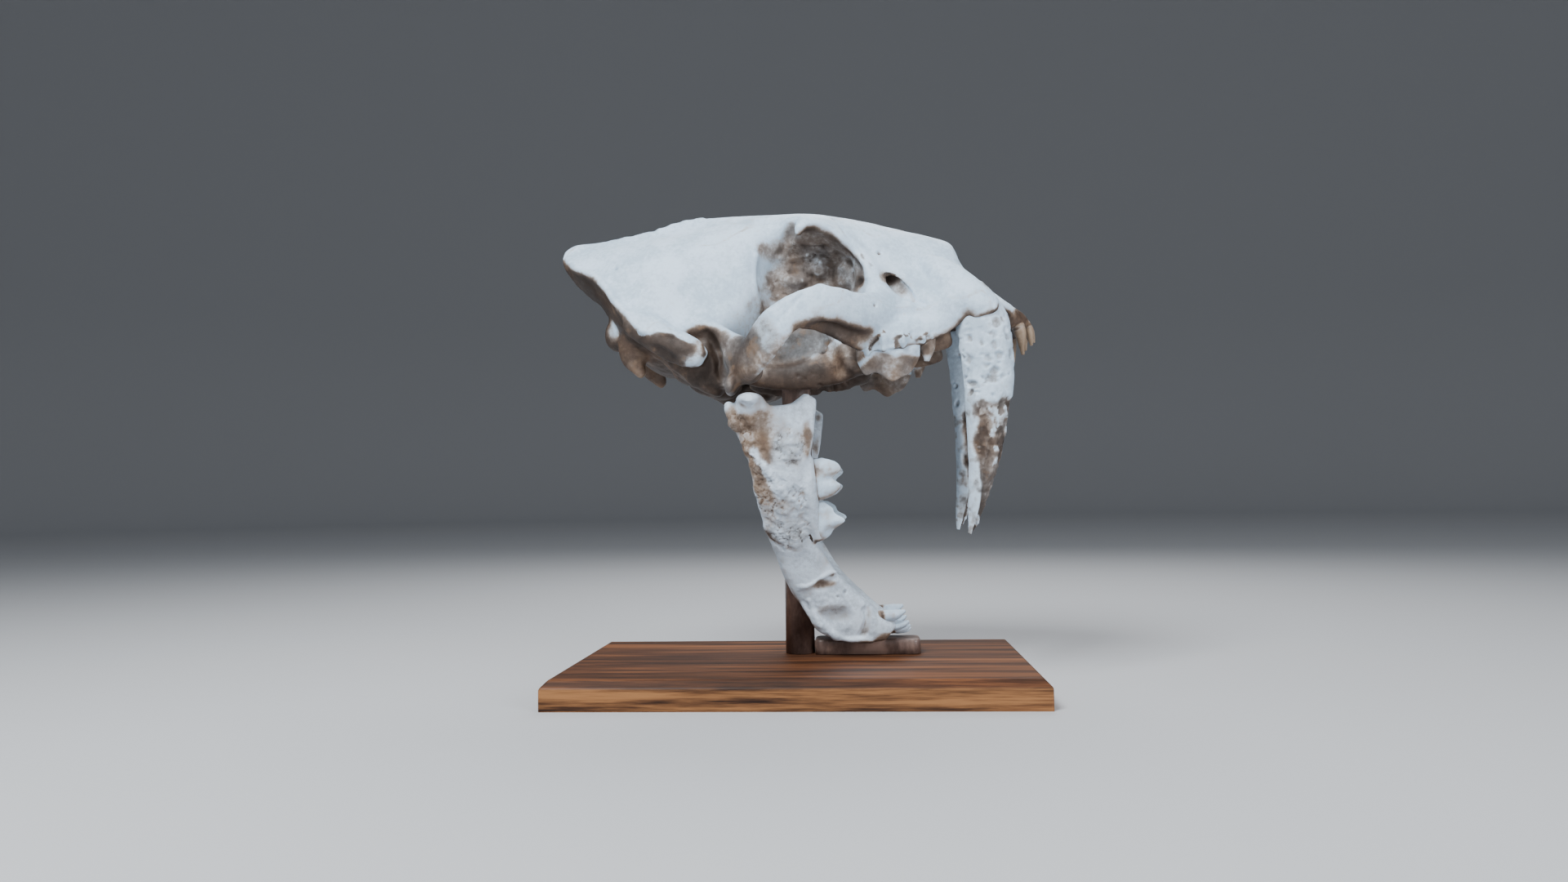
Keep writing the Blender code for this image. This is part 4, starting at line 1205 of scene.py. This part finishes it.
def brushed(points, numbers, dabs, streaks):
    """Brushes brown and warmth over the numbers a bone already has, on both sides."""
    wavy = bent(points, 12, 2.4, 77)
    for side in (1, -1):
        for centre, radii, *wanted in dabs:
            share = ease(0, 0.55, nearness(wavy, centre, radii, side))
            numbers += share * (np.array(wanted)[:, None] - numbers)
        for path, width, *wanted in streaks:
            near, share = beside(wavy, path, width, side)
            numbers[:, near] += ease(0, 0.6, share) * (np.array(wanted)[:, None] - numbers[:, near])


def shade_below_crest(points):
    """1 behind and below the crest line, where brown shade is painted."""
    x, z = np.array(CREST_LINE, dtype=float).T
    under = np.interp(points[:, 0], x, z) - points[:, 2]
    return ease(0.5, 4.0, under) * ease(-56, -62, points[:, 0])


def weather_and_shade(piece, seed, dabs, streaks, lines=(), marks=0.0):
    """Stores how brown, how warm and how dark each point of a bone is, from stains and from painted shade.
    """
    clay = Clay(piece)
    web = neighbours(piece)
    sky = soften(sky_share(clay), web, 3)
    hollow = hollow_share(clay, web)
    # Painted shade: brown where little sky is seen, partly dirt, and on faces that look down.
    facing_down = ease(0.35, 0.95, -clay.outward[:, 2])
    uneven_sky = sky + 0.05 * patches(clay.points, 12, seed, 3)
    brown = 0.85 * ease(*SHADE_AND_BROWNING_SKY, uneven_sky) + 0.25 * facing_down
    # Brown painted shade under the crest at the back.
    if piece == cranium:
        brown += 0.75 * shade_below_crest(clay.points)
    numbers = np.stack([np.clip(brown, 0, 0.9), np.full(len(brown), 0.7)])
    brushed(clay.points, numbers, dabs, streaks)
    numbers = np.stack([soften(row, web, 10) for row in numbers])
    numbers[0] += ease(0.05, 0.3, numbers[0]) * 0.13 * patches(clay.points, 9, seed + 1, 3)
    # Thin lines go on last: dark painted shade in cracks, pale painted highlights along rims.
    brushed(clay.points, numbers, (), lines)
    # Small hollows are painted darker as shade, small bumps lighter.
    brown = numbers[0] + marks + 0.30 * ease(0.08, 0.6, hollow) - 0.30 * ease(0.15, 0.8, -hollow)
    set_share(piece, "stain_and_shade", brown)
    set_share(piece, "warmth", numbers[1] + 0.25 * patches(clay.points, 14, seed + 2, 2))
    # The third number paints near-black shade in the deepest hollows and where no sky is seen.
    set_share(piece, "grime_and_shade", ease(0.35, 1.1, hollow) + 0.4 * ease(0.05, 0.0, sky))
    print(piece.name, "mean sky share:", round(float(sky.mean()), 2))


hairlines = 0.16 * cracks(Clay(cranium).points, 55, 79)
weather_and_shade(cranium, 71, CRANIUM_DABS, CRANIUM_STREAKS, CRANIUM_LINES, hairlines)


# %% Stains and painted shade on the jaw
# Tan and brown, partly stain and partly painted shade in the fossa, under the ledges and under the canine
# tip; the pale dabs paint lit rims, such as the flange's.
JAW_DABS = (
    ((-20, -68, 162), (17, 11, 24), 0.42, 1.00),
    ((-4, -67, 163), (14, 10, 14), 0.28, 0.80),
    ((-3, -66, 151), (12, 10, 15), 0.30, 0.10),
    ((7, -64, 176), (16, 9, 13), 0.00, 0.00),
    ((-38, -67, 180), (9, 12, 5), 0.02, 0.00),
    ((-17, -68, 182), (6, 12, 7), 0.30, 0.90),
    ((-5, -62, 134), (12, 10, 14), 0.05, 0.30),
    ((-12, -56, 118), (14, 12, 20), 0.24, 0.45),
    ((0, -50, 100), (18, 12, 12), 0.20, 0.20),
    ((-26, -83, 184), (13, 10, 7), 0.02, 0.00),
    ((15, -36, 84), (7, 9, 13), 0.16, 0.50),
    ((18, -33, 66.5), (10, 8, 3.5), 0.42, 0.80),
    ((4, -34, 60), (9, 9, 10), 0.20, 0.50),
    ((24, -28, 47), (14, 9, 7), 0.32, 0.25),
    ((22, -26, 32), (23, 10, 6), 0.00, 0.00),
    ((57, -20, 27), (11, 10, 5), 0.50, 0.90),
    ((-13, -80, 185), (8, 12, 8), 0.34, 0.80),
)
# Streaks: brown along the rear border, painted shade in the crease by the lower canine, and pale ones paint
# lit ridges.
JAW_STREAKS = (
    (((-38, -66, 174), (-33, -68, 162), (-28, -66, 150), (-23, -63, 136), (-19, -60, 122)), 7.5, 0.42, 0.95),
    (((-22, -56, 110), (-17, -50, 98), (-10, -42, 82)), 4.5, 0.25, 0.30),
    (((10, -66, 170), (10, -66, 160), (9, -63, 150)), 3.0, 0.48, 1.00),
    (((-25, -66, 153), (-19, -66, 145), (-13, -64, 134), (-8, -61, 122)), 2.6, 0.00, 0.00),
    (((3, -33, 67), (15, -35, 71), (27, -30, 71)), 2.4, 0.00, 0.00),
    (((44, -25, 48), (44, -25, 42), (41, -24, 34)), 2.6, 0.40, 0.20),
)
for jaw in jaws.values():
    points = Clay(jaw).points
    marks = 0.12 * cracks(points, 9, 22) + 0.08 * cracks(points, 5, 23)
    marks = within(points, JAW_FLAKES) * (marks + 0.14 * ease(0.1, 0.8, patches(points, 7, 76, 2)))
    weather_and_shade(jaw, 73, JAW_DABS, JAW_STREAKS, marks=marks)

# %% [markdown]
# ## Building materials
# A material is a small recipe of nodes. The class keeps the material and adds one node at
# a time, so a recipe reads from top to bottom like a sum. All patterns use Object
# coordinates in metres, so a scale of 100 means features of about 10 mm.


# %% Material recipes
class Recipe:
    """A material that is built up node by node."""

    def __init__(self, name):
        self.material = bpy.data.materials.new(name)
        self.material.use_nodes = True
        self.nodes = self.material.node_tree.nodes
        self.shader = self.nodes["Principled BSDF"]
        self.place = self.nodes.new("ShaderNodeTexCoord").outputs["Object"]

    def fill(self, socket, value):
        """Links an output to a socket, or sets the socket's own value."""
        if isinstance(value, bpy.types.NodeSocket):
            self.material.node_tree.links.new(value, socket)
        else:
            socket.default_value = value

    def add(self, kind, **inputs):
        """Adds a node; each named input takes a value or another node's output."""
        made = self.nodes.new("ShaderNode" + kind)
        for name, value in inputs.items():
            self.fill(made.inputs[name.replace("_", " ")], value)
        return made

    def calc(self, operation, a, b):
        """One Math node."""
        made = self.add("Math")
        made.operation = operation
        self.fill(made.inputs[0], a)
        self.fill(made.inputs[1], b)
        return made.outputs[0]

    def plus(self, a, b):
        """The sum of two values."""
        return self.calc("ADD", a, b)

    def times(self, a, b):
        """The product of two values."""
        return self.calc("MULTIPLY", a, b)

    def swing(self, value, reach):
        """A value from 0 to 1 turned into one that swings evenly about 0."""
        return self.times(self.calc("SUBTRACT", value, 0.5), reach)

    def mean(self, first, share, second):
        """The weighted mean of two values."""
        return self.plus(self.times(first, share), self.times(second, 1 - share))

    def noise(self, scale, detail=4.0, roughness=0.55, place=None):
        """Soft noise from 0 to 1."""
        place = self.place if place is None else place
        return self.add("TexNoise", Vector=place, Scale=scale, Detail=detail,
                        Roughness=roughness).outputs["Fac"]

    def stretched(self, scale):
        """The place on the object, scaled by its own number along each axis."""
        return self.add("Mapping", Vector=self.place, Scale=scale).outputs["Vector"]

    def spread(self, value, low, high):
        """Smooth step of a value from low to high."""
        made = self.add("MapRange", Value=value, From_Min=low, From_Max=high)
        made.interpolation_type = "SMOOTHSTEP"
        return made.outputs["Result"]

    def ramp(self, value, stops):
        """Colours by position along a value."""
        made = self.add("ValToRGB", Fac=value)
        band = made.color_ramp.elements
        while len(band) < len(stops):
            band.new(0.5)
        for spot, (position, colour) in zip(band, stops):
            spot.position = position
            spot.color = (*colour, 1)
        return made.outputs["Color"]

    def blend(self, share, first, second):
        """Mixes two colours."""
        return self.add("MixRGB", Fac=share, Color1=first, Color2=second).outputs["Color"]

    def stored(self, name):
        """A number that was stored on the points."""
        made = self.add("Attribute")
        made.attribute_name = name
        return made.outputs["Fac"]

    def serve(self, colour, rough, relief=None, strength=0.0, distance=0.0, **fixed):
        """Gives the shader its colour, roughness, bump and values that never change."""
        self.fill(self.shader.inputs["Base Color"], colour)
        self.fill(self.shader.inputs["Roughness"], rough)
        if relief is not None:
            bump = self.add("Bump", Strength=strength, Distance=distance, Height=relief)
            self.fill(self.shader.inputs["Normal"], bump.outputs["Normal"])
        for name, value in fixed.items():
            self.shader.inputs[name.replace("_", " ")].default_value = value
        return self.material


# %% [markdown]
# ## Weathered bone and painted shade
# The bone is cool white with faint mottling, grey and brown where dirt stays and where
# shade is painted, and painted nearly black as shade in the deepest cracks. The stored
# numbers give the large layout and noise frays its edges. Fine pores are only bump,
# because they are smaller than the mesh can carry.


# %% Bone and enamel
# Colours along the stain and painted shade, from light dirt and soft shade to the darkest
# painted shade in the deepest corners: one row is the grey of dust and shade, the other the brown of soil
# and brown shade.
COOL_STEPS = (
    (0.30, (0.30, 0.315, 0.33)), (0.50, (0.145, 0.146, 0.15)), (0.72, (0.072, 0.066, 0.063)),
    (1.0, (0.040, 0.034, 0.031)),
)
WARM_STEPS = (
    (0.30, (0.36, 0.275, 0.21)), (0.50, (0.175, 0.118, 0.082)), (0.72, (0.085, 0.054, 0.038)),
    (1.0, (0.044, 0.028, 0.020)),
)
RUST = (0.27, 0.165, 0.095, 1)
# Near-black painted shade of the deepest cracks and hollows, with some grime.
GRIME_AND_SHADE = (0.028, 0.019, 0.015, 1)
PORE_DEPTH = 0.0006


def bone_like(name, pale, shade, rough, pores):
    """Cool white bone or enamel that turns grey, then brown, where it is stained and where shade is painted.
    """
    mix = Recipe(name)
    large, small, speck = mix.noise(45.0), mix.noise(380.0, 5.0, 0.6), mix.noise(1500.0, 3.0)
    mottle = mix.mean(large, 0.6, small)
    white = mix.blend(mix.spread(mottle, 0.36, 0.60), (*shade, 1), (*pale, 1))
    frayed = mix.plus(mix.plus(mix.stored("stain_and_shade"), mix.swing(large, 0.35)), mix.swing(small, 0.45))
    darker_tone = mix.blend(mix.stored("warmth"), mix.ramp(frayed, COOL_STEPS), mix.ramp(frayed, WARM_STEPS))
    rusty = mix.times(mix.spread(mix.noise(110.0), 0.50, 0.68), 0.38)
    rusty = mix.times(rusty, mix.times(mix.spread(frayed, 0.45, 0.65), mix.spread(frayed, 0.88, 0.68)))
    stained_and_shaded = mix.blend(mix.spread(frayed, 0.05, 0.43), white, mix.blend(rusty, darker_tone, RUST))
    # Near-black painted shade where the third stored number is high.
    colour = mix.blend(mix.times(mix.stored("grime_and_shade"), 0.8), stained_and_shaded, GRIME_AND_SHADE)
    return mix.serve(colour, mix.plus(rough, mix.times(small, 0.2)), mix.mean(small, 0.7, speck), pores,
                     PORE_DEPTH, Specular_IOR_Level=0.3)


bone = bone_like("weathered_bone", (0.64, 0.79, 0.94), (0.45, 0.58, 0.71), 0.42, 0.6)
jaw_bone = bone_like("greyer_bone", (0.64, 0.74, 0.85), (0.40, 0.46, 0.53), 0.42, 0.8)
enamel = bone_like("worn_enamel", (0.61, 0.75, 0.89), (0.43, 0.54, 0.65), 0.30, 0.35)
old_tooth = bone_like("stained_tooth", (0.32, 0.235, 0.165), (0.21, 0.145, 0.095), 0.34, 0.35)
print("bone finishes: 4")

# %% [markdown]
# ## Varnished wood
# The board's grain runs along its length, so the noise is stretched in X. Its cut sides
# are a warmer, lighter brown than its top. A clear coat gives the gloss that runs
# along the bevel.


# %% Wood
GRAIN_STEPS = (0.36, 0.50, 0.64)
CUT_WOOD = (0.36, 0.165, 0.062, 1)
# Height, in metres, from which the board's sides show cut wood instead of its top.
CUT_FROM = (0.0140, 0.0125)
GRAIN_DEPTH = 0.0004


def striped_wood(name, colours, stretch, rough, gloss, glow=0.0):
    """Brown wood with long grain, paler patches and a clear coat."""
    mix = Recipe(name)
    along = mix.stretched(stretch)
    bands, pores = mix.noise(1.0, 6.0, 0.65, along), mix.noise(5.0, 3.0, 0.6, along)
    grain = mix.mean(bands, 0.75, pores)
    colour = mix.ramp(grain, tuple(zip(GRAIN_STEPS, colours)))
    wide = mix.stretched([scale * 0.35 for scale in stretch])
    patch = mix.times(mix.spread(mix.noise(1.0, 3.0, place=wide), 0.52, 0.66), 0.55)
    colour = mix.blend(patch, colour, (*(value * 1.5 for value in colours[-1]), 1))
    height = mix.add("SeparateXYZ", Vector=mix.place).outputs["Z"]
    side = mix.times(mix.spread(height, *CUT_FROM), mix.spread(grain, 0.36, 0.62))
    colour = mix.blend(mix.times(side, glow), colour, CUT_WOOD)
    return mix.serve(colour, mix.plus(rough, mix.times(pores, 0.18)), grain, 0.25, GRAIN_DEPTH,
                     Specular_IOR_Level=gloss, Coat_Weight=0.3 * gloss, Coat_Roughness=0.26)


BOARD_BROWNS = ((0.020, 0.008, 0.004), (0.070, 0.026, 0.011), (0.20, 0.074, 0.027))
DARK_BROWNS = ((0.075, 0.050, 0.043), (0.155, 0.105, 0.090), (0.28, 0.19, 0.155))
board_wood = striped_wood("varnished_board", BOARD_BROWNS, (7.0, 120.0, 160.0), 0.50, 0.22, 0.80)
dark_wood = striped_wood("dark_polished_wood", DARK_BROWNS, (90.0, 90.0, 40.0), 0.24, 0.5)
print("woods: 2")

# %% [markdown]
# ## Board, post and pad
# The stand is simple joinery. The board is a block with a chamfered top, the post a
# turned rod and the pad a low block with round corners. Real edges are never sharp, so
# each gets a small bevel, which also catches the light.

# %% Stand measures
BASE_LENGTH, BASE_DEPTH, BASE_THICKNESS = 298.0, 172.0, 18.0
BASE_CHAMFER = 4.8
BASE_CENTRE = (0.0, -21.5)
POST_RADIUS, POST_CENTRE_X, POST_TOP = 9.8, -0.5, 214.0
BLOCK_X = (9.8, 80.0)
BLOCK_HALF_WIDTH, BLOCK_TOP = 11.5, 28.0
FIT_GAP = 0.3
STAND_FLOOR = BASE_THICKNESS + FIT_GAP


# %% Stand
def bevel(bm, edges, width, segments):
    """Rounds or chamfers some edges."""
    bmesh.ops.bevel(bm, geom=edges, offset=width, segments=segments, profile=0.5, affect="EDGES",
                    material=-1)


def edges_above(bm, height):
    """The edges that lie wholly above a height."""
    return [edge for edge in bm.edges if all(corner.co.z > height for corner in edge.verts)]


def block_between(bm, low, high):
    """Upright box between two corners."""
    low, high = Vector(low), Vector(high)
    bmesh.ops.create_cube(bm, size=1.0, matrix=Matrix.Translation((low + high) / 2)
                          @ Matrix.Diagonal((*(high - low), 1)))


def stand_board():
    """Board with a chamfer round its top and softened edges."""
    bm = bmesh.new()
    x, y = BASE_CENTRE
    block_between(bm, (x - BASE_LENGTH / 2, y - BASE_DEPTH / 2, 0),
                  (x + BASE_LENGTH / 2, y + BASE_DEPTH / 2, BASE_THICKNESS))
    bevel(bm, edges_above(bm, BASE_THICKNESS / 2), BASE_CHAMFER, 1)
    bevel(bm, [edge for edge in bm.edges if max(corner.co.z for corner in edge.verts) > 1], 0.9, 3)
    return new_piece("varnished_base", bm)


def stand_post():
    """Turned rod with an eased top edge."""
    bm = bmesh.new()
    middle = Matrix.Translation((POST_CENTRE_X, 0, (STAND_FLOOR + POST_TOP) / 2))
    bmesh.ops.create_cone(bm, cap_ends=True, segments=72, radius1=POST_RADIUS, radius2=POST_RADIUS,
                          depth=POST_TOP - STAND_FLOOR, matrix=middle)
    bevel(bm, edges_above(bm, POST_TOP - 1), 1.2, 3)
    return new_piece("turned_post", bm)


def stand_pad():
    """Low pad with round corners and an eased rim."""
    bm = bmesh.new()
    (left, right), half = BLOCK_X, BLOCK_HALF_WIDTH
    block_between(bm, (left, -half, STAND_FLOOR), (right, half, BLOCK_TOP))
    upright = [edge for edge in bm.edges if abs(edge.verts[0].co.z - edge.verts[1].co.z) > 1]
    bevel(bm, upright, 5.0, 8)
    bevel(bm, edges_above(bm, BLOCK_TOP - 0.1), 1.6, 4)
    return new_piece("chin_pad", bm)


board, post, pad = stand_board(), stand_post(), stand_pad()
print("board", [round(v, 4) for v in board.dimensions])


# %% [markdown]
# ## Handing the pieces over
# Each new piece stands for one CAD node, whose copy is hidden, rides on the body and gets
# its finish. Smooth shading hides the facets of curved pieces, and the flat-sided board keeps
# its flats because its bevels carry the turn.


# %% Hand over
def hand_over(piece, node, finish, smooth=True):
    """Gives a piece its finish, hangs it on the root body and hides the CAD node it stands for."""
    piece.data.materials.clear()
    piece.data.materials.append(finish)
    piece.data.polygons.foreach_set("use_smooth", [smooth] * len(piece.data.polygons))
    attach(piece, "root")
    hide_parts(node)


hand_over(cranium, "cranium", bone)
for side, suffix in SIDES:
    hand_over(jaws[suffix], "dentary" + suffix, jaw_bone)
    hand_over(sabres[suffix], "upper_canine" + suffix, enamel)
TOOTH_FINISHES = {"incisor": old_tooth, "upper_tooth": enamel, "lower_tooth": enamel}
for node, (tooth, slot) in crowns.items():
    hand_over(tooth, node, TOOTH_FINISHES[slot])
hand_over(board, "base_board", board_wood, smooth=False)
hand_over(post, "support_post", dark_wood)
hand_over(pad, "chin_block", dark_wood)

# %% [markdown]
# ## A small studio
# A round pale floor that curves up into a wall all about leaves no horizon behind the
# skull, whichever way it is looked at. One large soft light from above on the left
# models the forms, a weaker one fills the shadows and a third lifts the top edge.


# %% Studio
FLOOR_RADIUS, COVE_RADIUS, WALL_TOP = 5.0, 1.2, 5.0


def studio_bowl():
    """Round floor that curves up into a wall, spun about the vertical axis."""
    bm = bmesh.new()
    profile = [(0, 0), (FLOOR_RADIUS, 0)]
    for turned in np.linspace(0.15, 1.57, 10):
        profile.append((FLOOR_RADIUS + COVE_RADIUS * math.sin(turned), COVE_RADIUS * (1 - math.cos(turned))))
    profile.append((FLOOR_RADIUS + COVE_RADIUS, WALL_TOP))
    row = [bm.verts.new((x, 0, z)) for x, z in profile]
    edges = [bm.edges.new(pair) for pair in zip(row, row[1:])]
    bmesh.ops.spin(bm, geom=row + edges, cent=(0, 0, 0), axis=(0, 0, 1), angle=2 * math.pi, steps=96,
                   use_merge=True, use_duplicate=False)
    bmesh.ops.remove_doubles(bm, verts=bm.verts, dist=0.0001)
    bmesh.ops.recalc_face_normals(bm, faces=bm.faces)
    mesh = bpy.data.meshes.new("studio_floor")
    bm.to_mesh(mesh)
    bm.free()
    floor = bpy.data.objects.new("studio_floor", mesh)
    bpy.context.scene.collection.objects.link(floor)
    floor.data.polygons.foreach_set("use_smooth", [True] * len(floor.data.polygons))
    return floor


def soft_light(name, place, aim, size, power, colour):
    """Square area light aimed at a point."""
    lamp = bpy.data.lights.new(name, "AREA")
    lamp.size = size
    lamp.energy = power
    lamp.color = colour
    made = bpy.data.objects.new(name, lamp)
    made.location = place
    made.rotation_euler = (Vector(aim) - Vector(place)).to_track_quat("-Z", "Y").to_euler()
    bpy.context.scene.collection.objects.link(made)


floor = studio_bowl()
floor.data.materials.append(Recipe("pale_paper").serve((0.55, 0.56, 0.58, 1), 0.9))

soft_light("key", (-0.42, -0.80, 1.08), (0, 0, 0.20), 0.50, 25.0, (0.94, 0.975, 1.0))
soft_light("fill", (0.95, -0.95, 0.45), (0, 0, 0.18), 0.7, 12.0, (0.95, 0.97, 1.0))
soft_light("rim", (0.15, 0.75, 1.0), (0, 0, 0.25), 0.8, 8.0, (1.0, 1.0, 1.0))
sky = bpy.data.worlds.new("studio")
sky.use_nodes = True
glow = sky.node_tree.nodes["Background"].inputs
glow["Color"].default_value = (0.80, 0.84, 0.90, 1)
glow["Strength"].default_value = 0.26
bpy.context.scene.world = sky
